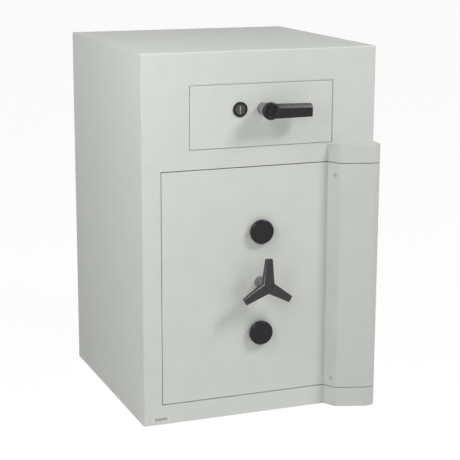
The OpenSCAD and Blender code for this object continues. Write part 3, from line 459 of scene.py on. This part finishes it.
def column_bar(name, bottom, top, inset=0.0, round_back=False):
    """The column's outline from bottom to top, with its slope, face and round nose."""
    side_x = hinge.x + nose_r - inset
    piece = block(name, (seam.x, hinge.y - 2 * nose_r, bottom),
                  (side_x, front + (mm if inset else 0), top))
    slice_off(piece, seam - slope_normal * inset, slope_normal)
    slice_off(piece, face_foot - face_normal * inset, face_normal)
    if round_back:
        back_y = hinge.y + nose_r - inset
        solid(piece, block("step", (door_high.x, back_y, bottom - mm),
                           (side_x + mm, front + 2 * mm, top + mm)))
        bevel(piece, lambda e: upright(e) and middle(e).x > side_x - near
              and middle(e).y > hinge.y, nose_r - inset - near, 12)
    bevel(piece, lambda e: upright(e) and middle(e).x > side_x - near
          and middle(e).y < hinge.y - nose_r / 2,
          (nose_r - inset) / math.tan(nose_corner / 2) - near, 24)
    bevel(piece, lambda e: upright(e)
          and (middle(e) - corner).to_2d().length < 2 * inset + near, max(fold - inset, mm), 4)
    edit(piece, "VERT", everything, bpy.ops.mesh.remove_doubles, threshold=2 * near)
    return piece


def round_rims(piece, bottom, top, width):
    """Rounds the outline's upper and lower rims, but not where they meet the door's plane."""
    bevel(piece, lambda e: any(all(abs(v.co.z - z) < near for v in e.verts)
                               for z in (bottom, top))
          and (middle(e) - hinge).to_2d().length > nose_r / 2
          and middle(e).y < front - near, width, 3)


# %% Column blocks
rim_round, pin_deep, pin_hole_r = 1.2 * mm, 34 * mm, 9.05 * mm
for name, replaced in [("column_block_upper", "hinge_block_top"),
                       ("column_block_lower", "hinge_block_bottom")]:
    a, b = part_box(replaced)
    piece = column_bar(name, a.z, b.z)
    round_rims(piece, a.z, b.z, rim_round)
    above_door = a.z > door_high.z
    hole = (a.z - mm, a.z + pin_deep) if above_door else (b.z - pin_deep, b.z + mm)
    solid(piece, bar("pin_hole", hinge.xy, pin_hole_r, *hole, axis="Z", steps=64))
    shade(piece)
    # The blocks take the darker copy of the body paint, as painted shade.
    fit(piece, "safe_body", "column_painted_shade", replaced, slot="body_paint")

# %% Column cover
end_hole_r, plug_r, plug_deep, plug_proud = 16.5 * mm, 5.5 * mm, 2.5 * mm, 0.8 * mm
# The plugs sit at this share of the slope's width, and this far from the cover's two ends.
plug_at, plug_up, plug_down = 0.58, 22 * mm, 30 * mm
plug_room, plug_cut = 0.05 * mm, 6 * mm
cover = column_bar("column_shell", cover_low.z, cover_high.z, round_back=True)
round_rims(cover, cover_low.z, cover_high.z, rim_round)
solid(cover, column_bar("inside", cover_low.z + sheet, cover_high.z - sheet, sheet, True))
solid(cover, bar("pin_holes", hinge.xy, end_hole_r, cover_low.z - mm, cover_high.z + mm,
                 axis="Z", steps=64))


def plug_bar(name, z, radius, inner, outer):
    """A short round bar square to the slope, from inner to outer of its surface."""
    on_slope = seam + Vector((slope_w, -slope_out, 0)) * plug_at + Vector((0, 0, z))
    bpy.ops.object.select_all(action="DESELECT")
    bpy.ops.mesh.primitive_cylinder_add(
        vertices=48, radius=radius, depth=outer - inner,
        location=on_slope + slope_normal * (inner + outer) / 2,
        rotation=slope_normal.to_track_quat("Z", "Y").to_euler())
    return settle(name)


plug_zs = [cover_low.z + plug_up, cover_high.z - plug_down]
for z in plug_zs:
    solid(cover, plug_bar("plug_hole", z, plug_r + plug_room, -plug_cut, plug_cut))
shade(cover)
# The cover takes the darker copy of the body paint, as painted shade.
fit(cover, "door", "column_painted_shade", "column_cover", slot="body_paint")

# %% [markdown]
# ## The plugs
# Two push-in plugs close the screw holes in the slope. Each has a low dome that catches a
# point of light. One is turned on the slope, its outer rim rounded as far as it will go,
# and the second is a copy moved down.

# %% Plugs
def copied(piece, move, **settings):
    """Copies a piece with its own mesh, and moves the copy with one transform tool."""
    pick(piece)
    bpy.ops.object.duplicate()
    move(**settings)
    bpy.ops.object.transform_apply(location=True, rotation=True, scale=True)
    return bpy.context.object


plug_rim = 0.75 * mm
plug = plug_bar("plug_caps", plug_zs[1], plug_r, -plug_deep, plug_proud)
bevel(plug, lambda e: (middle(e) - seam).dot(slope_normal) > plug_proud - near, plug_rim, 3)
second = copied(plug, bpy.ops.transform.translate, value=(0, 0, plug_zs[0] - plug_zs[1]))
pick(plug, second)
bpy.ops.object.join()
shade(plug)
# The plugs' grey is painted shade on body-coloured plugs.
fit(plug, "door", "plug_grey", "column_plugs")

# %% [markdown]
# ## The spoke handle
# The handle is a black casting with three spokes that grow narrower and thinner towards
# their tips, each with a broad bevel along its front. One spoke is enough: it is tapered,
# bevelled and cut to a wedge of a third of a turn, so that three copies close into one skin
# when their doubles are merged. Their fronts fall back a little towards the tips. The hub is
# a short bar that is united with them, and a grey neck runs from it to the boss on the door.
# A round seat in the middle takes the cap's disc. The handle comes to rest a little past
# upright, so the spokes are turned by that angle.

# %% One spoke
handle_low, handle_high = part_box("spoke_handle")
spindle_low, spindle_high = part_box("handle_spindle")
hub = Vector(((spindle_low.x + spindle_high.x) / 2, handle_low.y,
              (spindle_low.z + spindle_high.z) / 2))
reach, handle_rest = 69 * mm, math.radians(1.5)
spoke_w, tip_w, spoke_t, tip_t, spoke_bevel = 30 * mm, 17 * mm, 16 * mm, 9 * mm, 6 * mm
tip_back, tip_round, spoke_soft = 3 * mm, 2 * mm, 0.45 * mm

spoke = block("handle_casting", hub - Vector((spoke_w / 2, 0, 0)),
              hub + Vector((spoke_w / 2, spoke_t, reach)))
tip_z = hub.z + reach - near
edit(spoke, "VERT", lambda v: v.co.z > tip_z, bpy.ops.transform.resize,
     value=(tip_w / spoke_w, tip_t / spoke_t, 1), center_override=hub)
edit(spoke, "VERT", lambda v: v.co.z > tip_z, bpy.ops.transform.translate,
     value=(0, tip_back, 0))
bevel(spoke, lambda e: all(v.co.z > tip_z for v in e.verts)
      and abs(e.verts[0].co.y - e.verts[1].co.y) > mm, tip_round, 3)
bevel(spoke, lambda e: all(v.co.y < hub.y + tip_back + near for v in e.verts)
      and middle(e).z > hub.z + mm, spoke_bevel, 1)
soft_edges(spoke, spoke_soft)
# The wedge's two planes lie 60 degrees to each side of the spoke.
for way in (1, -1):
    edit(spoke, "FACE", everything, bpy.ops.mesh.bisect, plane_co=hub, use_fill=False,
         plane_no=(way * 0.5, 0, -math.sqrt(0.75)), clear_outer=True)
print("faces of one spoke:", len(spoke.data.polygons))

# %% Three spokes and their hub
spokes = [spoke] + [copied(spoke, bpy.ops.transform.rotate, value=turn * math.tau / 3,
                           orient_axis="Y", center_override=hub) for turn in (1, 2)]
pick(*spokes)
bpy.ops.object.join()
edit(spoke, "VERT", lambda v: (v.co - hub).xz.length < spoke_w, bpy.ops.mesh.remove_doubles,
     threshold=5 * near)
edit(spoke, "FACE", everything, bpy.ops.mesh.normals_make_consistent, inside=False)
pick(spoke)
bpy.ops.transform.rotate(value=-handle_rest, orient_axis="Y", center_override=hub)
bpy.ops.object.transform_apply(location=True, rotation=True, scale=True)

hub_r, neck_r, cap_r, cap_deep = 15 * mm, 12.5 * mm, 6 * mm, 6 * mm
hub_in, hub_proud, hub_rim, neck_soft = 5 * mm, 1.5 * mm, 0.8 * mm, 0.4 * mm
disc_r, disc_ring, disc_back, spindle_bore_r = 9.4 * mm, 0.7 * mm, 4 * mm, 8.05 * mm
neck_y = hub.y + spoke_t + hub_proud
hub_bar = bar("hub", hub.xz, hub_r, hub.y + hub_in, neck_y)
bevel(hub_bar, lambda e: all(v.co.y > neck_y - near for v in e.verts), hub_rim, 2)
solid(spoke, hub_bar, "UNION")
solid(spoke, bar("disc_seat", hub.xz, disc_r + disc_ring, hub.y - mm, hub.y + disc_back))
solid(spoke, bar("bore", hub.xz, spindle_bore_r, hub.y + cap_deep, handle_high.y + mm))
solid(spoke, bar("cap_hole", hub.xz, cap_r, hub.y - mm, hub.y + cap_deep + mm))
shade(spoke)
fit(spoke, "handle", "handle_black", "spoke_handle")

neck = bar("handle_neck", hub.xz, neck_r, neck_y, handle_high.y)
solid(neck, bar("bore", hub.xz, spindle_bore_r, neck_y - mm, handle_high.y + mm))
soft_edges(neck, neck_soft)
shade(neck)
# The neck takes the lighter grey, as painted light against the handle's shadow.
fit(neck, "handle", "boss_painted_light_grey", slot="satin_grey")

# %% Cap of the handle
cap_rim, groove_soft = 0.6 * mm, 0.12 * mm


def ringed_cap(name, at, radius, start, end, grooves):
    """A round cap with a soft rim and shallow steps towards its middle."""
    piece = bar(name, at, radius, start, end)
    bevel(piece, lambda e: all(v.co.y < start + near for v in e.verts), cap_rim, 3)
    for width, step in grooves:
        edit(piece, "FACE", lambda f: len(f.verts) > 4 and f.normal.y < -0.9,
             bpy.ops.mesh.inset, thickness=width)
        edit(piece, "FACE", lambda f: len(f.verts) > 4 and f.normal.y < -0.9,
             bpy.ops.mesh.extrude_region_move,
             TRANSFORM_OT_translate={"value": (0, step, 0)})
    soft_edges(piece, groove_soft)
    return piece


cap_low, cap_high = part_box("handle_cap")
stem_room, stem_in = 0.05 * mm, 3 * mm
disc_grooves = [(1.6 * mm, 0.3 * mm), (3.4 * mm, 0.3 * mm)]
cap = ringed_cap("handle_cap_disc", hub.xz, disc_r, cap_low.y, hub.y + disc_back,
                 disc_grooves)
solid(cap, bar("cap_stem", hub.xz, cap_r - stem_room, hub.y + stem_in, cap_high.y), "UNION")
shade(cap)
fit(cap, "handle", "handle_black", "handle_cap", slot="black_plastic")

# %% [markdown]
# ## Boss and key covers
# The grey boss carries the spindle through the door, and two thick black discs swing aside
# on a post to show the keyholes. They are turned parts: a bar, its rims rounded, and the
# bores cut. The rounded rim matters most, since it draws the bright crescent on each disc.

# %% Boss
def turned_bar(name, at, start, end, radius, shoulder, neck_r, rim):
    """A round bar that steps down to a thinner neck at the shoulder, with rounded rims."""
    piece = bar(name, at, radius, start, shoulder)
    edit(piece, "FACE", lambda f: middle(f).y > shoulder - near and len(f.verts) > 4,
         bpy.ops.mesh.inset, thickness=radius - neck_r)
    edit(piece, "FACE", lambda f: middle(f).y > shoulder - near
         and (middle(f).xz - Vector(at)).length < near and len(f.verts) > 4,
         bpy.ops.mesh.extrude_region_move,
         TRANSFORM_OT_translate={"value": (0, end - shoulder, 0)})
    bevel(piece, lambda e: all(abs(v.co.y - start) < near for v in e.verts), rim, 4)
    bevel(piece, lambda e: all(abs(v.co.y - shoulder) < near for v in e.verts)
          and (middle(e).xz - Vector(at)).length > radius - mm, rim / 2, 2)
    return piece


boss_low, boss_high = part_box("spindle_bush")
boss_r, bush_r, boss_rim = 14.5 * mm, 11 * mm, 1.8 * mm
boss = turned_bar("spindle_boss", hub.xz, boss_low.y, boss_high.y, boss_r, front, bush_r,
                  boss_rim)
solid(boss, bar("bore", hub.xz, spindle_bore_r, boss_low.y - mm, boss_high.y + mm))
shade(boss)
# The boss takes the lighter grey, as painted light against the handle's shadow.
fit(boss, "door", "boss_painted_light_grey", "spindle_bush", slot="satin_grey")

# %% Key covers
cover_rim, cover_back_rim = 3.5 * mm, 0.5 * mm
post_r, post_up, post_deep = 3.05 * mm, 19 * mm, 5.65 * mm
for name, replaced, body in [("key_disc_upper", "key_cover_upper", "upper_key_cover"),
                             ("key_disc_lower", "key_cover_lower", "lower_key_cover")]:
    a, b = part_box(replaced)
    at = ((a.x + b.x) / 2, (a.z + b.z) / 2)
    disc = bar(name, at, (b.x - a.x) / 2, a.y, b.y, steps=128)
    bevel(disc, lambda e: all(v.co.y < a.y + near for v in e.verts), cover_rim, 8)
    bevel(disc, lambda e: all(v.co.y > b.y - near for v in e.verts), cover_back_rim, 2)
    solid(disc, bar("post_hole", (at[0], at[1] + post_up), post_r, b.y - post_deep, b.y + mm,
                    steps=48))
    shade(disc)
    fit(disc, body, "black_plastic", replaced)

# %% [markdown]
# ## The drawer's lever
# The lever is moulded in one: a round hub with a dished face and a straight arm whose upper
# front edge falls back in a broad slope. The arm is a block, a little deeper at the root
# than at the tip, trimmed by one plane and with the new edge rounded off wide. The hub is a
# bar whose face is inset and pushed in, and the two are united. A grey neck behind the hub
# narrows towards the drawer: it is a bar with one end made smaller. A ringed cap closes the
# dish, and a flat rose covers the drawer's hole.

# %% Lever
lever_low, lever_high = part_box("lever_handle")
shaft_low, shaft_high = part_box("lever_spindle")
lever_hub = Vector(((shaft_low.x + shaft_high.x) / 2, lever_low.y,
                    (shaft_low.z + shaft_high.z) / 2))
arm_half, arm_in, arm_deep, arm_soft, tip_corner = 16 * mm, 2 * mm, 18 * mm, 0.9 * mm, 3 * mm
lever_hub_r, lever_hub_rim, lever_back_rim = 21 * mm, 2.6 * mm, 0.8 * mm
lever_neck_r, lever_neck_soft, lever_bore_r = 14.5 * mm, 0.6 * mm, 6.05 * mm
slope_y, slope_z, dish_r, dish_deep, dish_rim = 7 * mm, 10 * mm, 13 * mm, 4 * mm, 1.4 * mm
lever_reach, lever_rest, fold_soft = 107 * mm, math.radians(1.5), 4 * mm
root_drop, tip_lift = 2.5 * mm, 1 * mm
lever_neck_y, lever_neck_wide = lever_hub.y + 6 * mm, lever_hub_r - mm

arm = block("lever_moulding", lever_hub + Vector((0, arm_in, -arm_half)),
            lever_hub + Vector((lever_reach, arm_deep, arm_half)))
for end_x, shift in [(lever_hub.x, -root_drop), (lever_hub.x + lever_reach, tip_lift)]:
    edit(arm, "VERT", lambda v: abs(v.co.x - end_x) < near and v.co.z < lever_hub.z,
         bpy.ops.transform.translate, value=(0, 0, shift))
bevel(arm, lambda e: all(v.co.x > lever_hub.x + lever_reach - near for v in e.verts)
      and abs(e.verts[0].co.y - e.verts[1].co.y) > mm, tip_corner, 4)
slice_off(arm, lever_hub + Vector((0, arm_in + slope_y, arm_half)), (0, -slope_z, slope_y))
edit(arm, "FACE", everything, bpy.ops.mesh.normals_make_consistent, inside=False)
bevel(arm, lambda e: abs(middle(e).y - lever_hub.y - arm_in) < near
      and abs(middle(e).z - lever_hub.z - arm_half + slope_z) < near
      and abs(e.verts[0].co.x - e.verts[1].co.x) > mm, fold_soft, 6)
soft_edges(arm, arm_soft, 3, 30)
pick(arm)
bpy.ops.transform.rotate(value=-lever_rest, orient_axis="Y", center_override=lever_hub)
bpy.ops.object.transform_apply(location=True, rotation=True, scale=True)
print("faces of the lever's arm:", len(arm.data.polygons))

# %% Hub and neck of the lever
lever_bar = bar("hub", lever_hub.xz, lever_hub_r, lever_hub.y, lever_neck_y + 2 * mm)
bevel(lever_bar, lambda e: all(abs(v.co.y - lever_hub.y) < near for v in e.verts),
      lever_hub_rim, 4)
bevel(lever_bar, lambda e: all(v.co.y > lever_neck_y + mm for v in e.verts),
      lever_back_rim, 2)
edit(lever_bar, "FACE", lambda f: len(f.verts) > 4 and f.normal.y < -0.9,
     bpy.ops.mesh.inset, thickness=lever_hub_r - lever_hub_rim - dish_r)
edit(lever_bar, "FACE", lambda f: len(f.verts) > 4 and f.normal.y < -0.9,
     bpy.ops.mesh.extrude_region_move, TRANSFORM_OT_translate={"value": (0, dish_deep, 0)})
bevel(lever_bar, lambda e: all(abs(v.co.y - lever_hub.y) < near for v in e.verts)
      and (middle(e).xz - lever_hub.xz).length < dish_r + near, dish_rim, 3)
edit(lever_bar, "FACE", everything, bpy.ops.mesh.normals_make_consistent, inside=False)
solid(arm, lever_bar, "UNION")
solid(arm, bar("bore", lever_hub.xz, lever_bore_r, lever_hub.y + 2 * dish_deep,
               lever_high.y + mm))
shade(arm)

lever_neck = bar("lever_neck", lever_hub.xz, lever_neck_wide, lever_neck_y, lever_high.y)
edit(lever_neck, "FACE", lambda f: middle(f).y > lever_high.y - near,
     bpy.ops.transform.resize, value=[lever_neck_r / lever_neck_wide] * 3,
     center_override=(lever_hub.x, lever_high.y, lever_hub.z))
solid(lever_neck, bar("bore", lever_hub.xz, lever_bore_r, lever_neck_y - mm,
                      lever_high.y + mm))
soft_edges(lever_neck, lever_neck_soft)
shade(lever_neck)
fit(arm, "drawer_lever", "lever_black", "lever_handle", slot="handle_black")
fit(lever_neck, "drawer_lever", "satin_grey")

# %% Lever cap and rose
cap_low, cap_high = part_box("lever_cap")
lever_grooves = [(3.2 * mm, 1.4 * mm), (2.6 * mm, -0.4 * mm), (2.4 * mm, 0.5 * mm)]
lever_cap = ringed_cap("lever_cap_disc", lever_hub.xz, (cap_high.x - cap_low.x) / 2,
                       cap_low.y, cap_high.y, lever_grooves)
shade(lever_cap)
fit(lever_cap, "drawer_lever", "black_plastic", "lever_cap")
rose_low, rose_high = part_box("lever_boss")
rose_rim = 1.2 * mm
rose = bar("lever_rose", lever_hub.xz, lever_neck_r, rose_low.y, rose_high.y)
bevel(rose, lambda e: all(v.co.y < rose_low.y + near for v in e.verts), rose_rim, 3)
solid(rose, bar("bore", lever_hub.xz, lever_hole_r, rose_low.y - mm, rose_high.y + mm))
shade(rose)
fit(rose, "drawer", "satin_grey", "lever_boss")

# %% [markdown]
# ## The key lock
# A black face ring holds a turning plug of dark grey metal with a narrow keyway, and in
# the keyway sit the edges of the wards, which snake from side to side. Their light grey is
# a painted reflection, in place of the shine of steel. The wards are a thin strip cut into
# short lengths that are pushed left and right in turn.

# %% Lock face and plug
lock_low, lock_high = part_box("drawer_lock")
plug_low, plug_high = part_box("lock_plug")
key_at = Vector(((lock_low.x + lock_high.x) / 2, lock_low.y, (lock_low.z + lock_high.z) / 2))
lock_r, barrel_r, core_r = (lock_high.x - lock_low.x) / 2, 15 * mm, 12.5 * mm
lock_rim, core_rim, core_room = 1.0 * mm, 0.7 * mm, 0.05 * mm
face_ring = turned_bar("lock_face", key_at.xz, lock_low.y, lock_high.y, lock_r, front,
                       barrel_r, lock_rim)
solid(face_ring, bar("bore", key_at.xz, core_r + core_room, lock_low.y - mm,
                     lock_high.y + mm))
shade(face_ring)
fit(face_ring, "drawer", "black_plastic", "drawer_lock")

slot_w, slot_h, slot_deep, cam_t, cam_h = 3.2 * mm, 22 * mm, 14.5 * mm, 3 * mm, 16 * mm
core = bar("lock_core", key_at.xz, core_r, plug_low.y, plug_high.y)
bevel(core, lambda e: all(v.co.y < plug_low.y + near for v in e.verts), core_rim, 2)
cam = block("cam", (plug_low.x, plug_high.y - cam_t, key_at.z - cam_h / 2),
            (key_at.x, plug_high.y, key_at.z + cam_h / 2))
solid(core, cam, "UNION")
solid(core, block("slot", key_at + Vector((-slot_w / 2, -mm, -slot_h / 2)),
                  key_at + Vector((slot_w / 2, slot_deep, slot_h / 2))))
shade(core)
fit(core, "drawer_lock_plug", "lock_grey", "lock_plug", slot="black_plastic")

# %% Wards in the keyway
ward_half, ward_in, ward_back = 1.0 * mm, 0.3 * mm, 8 * mm
ward_down, ward_up, ward_cuts = 10.5 * mm, 9 * mm, 18
ward_sway, ward_wave = 0.55 * mm, 2.1 * mm
wards = block("keyway_wards", key_at + Vector((-ward_half, ward_in, -ward_down)),
              key_at + Vector((ward_half, ward_back, ward_up)))
edit(wards, "EDGE", upright, bpy.ops.mesh.subdivide, number_cuts=ward_cuts)
for height in sorted({round(v.co.z, 6) for v in wards.data.vertices}):
    sway = ward_sway * math.sin((height - key_at.z) / ward_wave)
    edit(wards, "VERT", lambda v: abs(v.co.z - height) < near, bpy.ops.transform.translate,
         value=(sway, 0, 0))
shade(wards)
# The wards take a light, non-metal grey: a painted reflection in place of the steel's shine.
fit(wards, "drawer_lock_plug", "plug_grey", slot="bright_steel")

# %% [markdown]
# ## The rating plate
# A small plate of thin aluminium sits low on the left of the front. Here it stays blank.
# One helper makes its two layers: a panel with rounded corners and a border left by an
# inset, first for the pale plate and again for the darker field. Two rivets hold the ends.

# %% Rating plate
plate_low, plate_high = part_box("rating_plate")
plate_border, inner_slack, corner_edge = 0.6 * mm, 0.5 * mm, 0.1 * mm


def clipped_panel(name, low, high, corner, depth):
    """A thin upright panel with rounded corners and a border around a shallow field."""
    panel = block(name, low, high)
    bevel(panel, lambda e: abs(e.verts[0].co.y - e.verts[1].co.y) > corner_edge, corner, 3)
    edit(panel, "FACE", lambda f: f.normal.y < -0.9, bpy.ops.mesh.inset,
         thickness=plate_border)
    edit(panel, "FACE", lambda f: f.normal.y < -0.9 and len(f.verts) > 4
         and max(abs(v.co.x - (low[0] + high[0]) / 2) for v in f.verts)
         < (high[0] - low[0]) / 2 - inner_slack,
         bpy.ops.mesh.extrude_region_move, TRANSFORM_OT_translate={"value": (0, depth, 0)})
    return panel


plate_corner, plate_sunk = 1.2 * mm, 0.2 * mm
rating = clipped_panel("blank_plate", plate_low, plate_high, plate_corner, plate_sunk)
rivet_r, rivet_in, rivet_rim = 1.4 * mm, 3.6 * mm, 0.4 * mm
for x in (plate_low.x + rivet_in, plate_high.x - rivet_in):
    rivet = bar("rivet", (x, ((plate_low + plate_high) / 2).z), rivet_r, plate_low.y,
                plate_high.y, steps=32)
    bevel(rivet, lambda e: all(v.co.y < plate_low.y + near for v in e.verts), rivet_rim, 3)
    solid(rating, rivet, "UNION")
shade(rating)
fit(rating, "safe_body", "plate_aluminium", "rating_plate")

# %% Field of the plate
field_side, field_in, field_below, field_over = 7.5 * mm, 0.1 * mm, 2.8 * mm, 2.2 * mm
field_corner, field_sunk = 0.8 * mm, 0.05 * mm
field = clipped_panel(
    "plate_field",
    (plate_low.x + field_side, plate_low.y + field_in, plate_low.z + field_below),
    (plate_high.x - field_side, plate_high.y, plate_high.z - field_over),
    field_corner, field_sunk)
shade(field)
fit(field, "safe_body", "plate_field", slot="plate_aluminium")

# %% [markdown]
# ## The work inside
# Sheet and bar parts that show when the door or the drawer is open already have the right
# shape in the frame, but their edges are as sharp as a drawing. Real ones are deburred
# before they are painted or plated. A copy of each part is merged into one skin, its flats
# are made single faces again, and a narrow bevel on every edge lets the light catch it.

# %% Deburred copies
deburred = {
    0.6 * mm: ["keeper_left", "keeper_right", "head_keeper", "dog_bolts", "hinge_tube",
               "side_bolt_bar", "runner_drawer", "runner_middle", "runner_fixed", "latch_cam"],
    0.4 * mm: ["shelf", "drawer_housing", "drawer_box", "fishing_baffle", "door_back_cover",
               "liner_floor", "hinge_pins", "hinge_bushes", "thrust_washer", "shelf_pins",
               "floor_pin", "drawer_standoffs", "drawer_floor", "lever_spindle"],
    0.8 * mm: ["side_bolts", "top_bolt", "bottom_bolt", "escutcheon_upper",
               "escutcheon_lower", "lock_bolt_upper", "lock_bolt_lower"],
    0.3 * mm: ["inner_liner", "door_pan"],
}


def deburr(name, width):
    """Copies a CAD part, joins its triangles, rounds its edges and lets the copy show."""
    source = frame["nodes"][name]
    piece = bpy.data.objects.new(name + "_eased", source.data.copy())
    piece.data.name = piece.name
    bpy.context.scene.collection.objects.link(piece)
    edit(piece, "VERT", everything, bpy.ops.mesh.remove_doubles, threshold=near / 10)
    edit(piece, "FACE", everything, bpy.ops.mesh.dissolve_limited,
         angle_limit=math.radians(0.5), delimit=set())
    soft_edges(piece, width, 2, 40)
    edit(piece, "FACE", everything, bpy.ops.mesh.dissolve_degenerate, threshold=near / 10)
    shade(piece, 45)
    paint = source.material_slots[0].material.name.split(".")[0]
    fit(piece, source["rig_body"], paint, name)


for width, names in deburred.items():
    for name in names:
        deburr(name, width)

# %% [markdown]
# ## The cover's screws
# Seven socket screws hold the cover on the back of the door. One is turned from a bar: the
# head's rim is rounded, a six-sided socket is sunk into it, and a thin shank goes down into
# the pan's bosses. The other six are copies, each with its own mesh.

# %% Screws
screws_low, screws_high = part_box("cover_screws")
screw_head_r, screw_r, screw_head_t, socket_r = 4.5 * mm, 2.5 * mm, 2 * mm, 1.7 * mm
screw_rim, socket_deep = 0.6 * mm, 1.4 * mm
first_at = Vector((screws_low.x + screw_head_r, 0, screws_low.z + screw_head_r))
last_at = Vector((screws_high.x - screw_head_r, 0, screws_high.z - screw_head_r))
centre_at = (first_at + last_at) / 2
screw = bar("cover_screw_set", first_at.xz, screw_head_r, screws_high.y - screw_head_t,
            screws_high.y, steps=48)
bevel(screw, lambda e: all(v.co.y > screws_high.y - near for v in e.verts), screw_rim, 3)
solid(screw, bar("shank", first_at.xz, screw_r, screws_low.y, screws_high.y - mm, steps=32),
      "UNION")
solid(screw, bar("socket", first_at.xz, socket_r, screws_high.y - socket_deep,
                 screws_high.y + mm, steps=6))
shade(screw)
copies = [screw]
for x, z in [(centre_at.x, first_at.z), (last_at.x, first_at.z), (last_at.x, centre_at.z),
             (first_at.x, last_at.z), (centre_at.x, last_at.z), (last_at.x, last_at.z)]:
    copies.append(copied(screw, bpy.ops.transform.translate,
                         value=(x - first_at.x, 0, z - first_at.z)))
pick(*copies)
bpy.ops.object.join()
fit(screw, "door", "zinc_steel", "cover_screws")
print("screws in the cover:", len(copies))

# %% [markdown]
# ## Floor and light
# The safe stands on a pale floor that runs out of sight. The camera sees it nearly white,
# and so do shiny surfaces, because Light Path tells their rays apart, while the light that
# reaches the safe stays plain. Part of the floor's own shade is kept, so the shadow at the
# foot still shows. The lamps are square and soft, and all but one are large: one in front,
# four on the left, where the picture is lit from, and two on the right that shape the column
# and the handles.

# %% Floor
def seen_rays(tree):
    """1 for rays from the camera, through glass or off a shiny surface, and 0 for others."""
    rays = node(tree, "LightPath", {})
    direct = node(tree, "Math", {0: rays.outputs["Is Camera Ray"],
                                 1: rays.outputs["Is Transmission Ray"]}, operation="MAXIMUM")
    seen = node(tree, "Math", {0: direct.outputs[0],
                               1: rays.outputs["Is Glossy Ray"]}, operation="MAXIMUM")
    return seen.outputs[0]


floor_size, floor_drop, floor_tone = 120, 0.2 * mm, (228, 228, 226)
white_share, glow_strength = 0.9, 1.06
bpy.ops.object.select_all(action="DESELECT")
bpy.ops.mesh.primitive_plane_add(size=floor_size, location=(0, 0, -floor_drop))
floor = settle("floor")
material = bpy.data.materials.new("pale_floor")
material.use_nodes = True
tree = material.node_tree
tree.nodes.clear()
matt = node(tree, "BsdfDiffuse", {"Color": shown(*floor_tone)})
glow = node(tree, "Emission", {"Color": (1, 1, 1, 1), "Strength": glow_strength})
share = node(tree, "Math", {0: seen_rays(tree), 1: white_share}, operation="MULTIPLY")
mixed = node(tree, "MixShader", {0: share.outputs[0], 1: matt.outputs[0], 2: glow.outputs[0]})
node(tree, "OutputMaterial", {"Surface": mixed.outputs[0]})
floor.data.materials.append(material)
print("floor:", floor_size, "m wide")

# %% World
sky_strength = 0.05
world = bpy.data.worlds.new("studio")
bpy.context.scene.world = world
world.use_nodes = True
tree = world.node_tree
tree.nodes.clear()
lit = node(tree, "Background", {"Color": (1.0, 1.0, 1.0, 1.0), "Strength": sky_strength})
white = node(tree, "Background", {"Color": (1.0, 1.0, 1.0, 1.0), "Strength": 1.0})
mixed = node(tree, "MixShader", {0: seen_rays(tree), 1: lit.outputs[0], 2: white.outputs[0]})
node(tree, "OutputWorld", {"Surface": mixed.outputs[0]})
print("light from the sky:", sky_strength)

# %% Lamps
lamps_look_at = Vector((0, -0.1, 0.45))


def lamp(name, toward, distance, size, power):
    """A square area lamp that looks at the middle of the safe from a direction."""
    data = bpy.data.lights.new(name, "AREA")
    data.size, data.energy = size, power
    thing = bpy.data.objects.new(name, data)
    bpy.context.scene.collection.objects.link(thing)
    away = Vector(toward).normalized()
    thing.location = lamps_look_at + away * distance
    thing.rotation_euler = away.to_track_quat("Z", "Y").to_euler()
    print(f"lamp {name}: {size} m wide, {power} W")


lamp("front", (-0.2, -0.93, 0.3), 3.5, 1.6, 11.5)
lamp("left_back", (-0.83, 0.42, 0.55), 1.6, 0.8, 1.6)
lamp("left_low", (-0.93, -0.42, 0.14), 3.0, 1.8, 12.5)
lamp("left_near", (-0.8, -0.75, 0.45), 1.7, 0.3, 3.5)
lamp("left_high", (-0.8, -0.5, 0.9), 2.0, 0.8, 12.5)
lamp("right_high", (0.6, -0.6, 0.75), 4.2, 1.2, 90)
lamp("front_right", (0.75, -0.9, 0.05), 3.5, 0.8, 7)
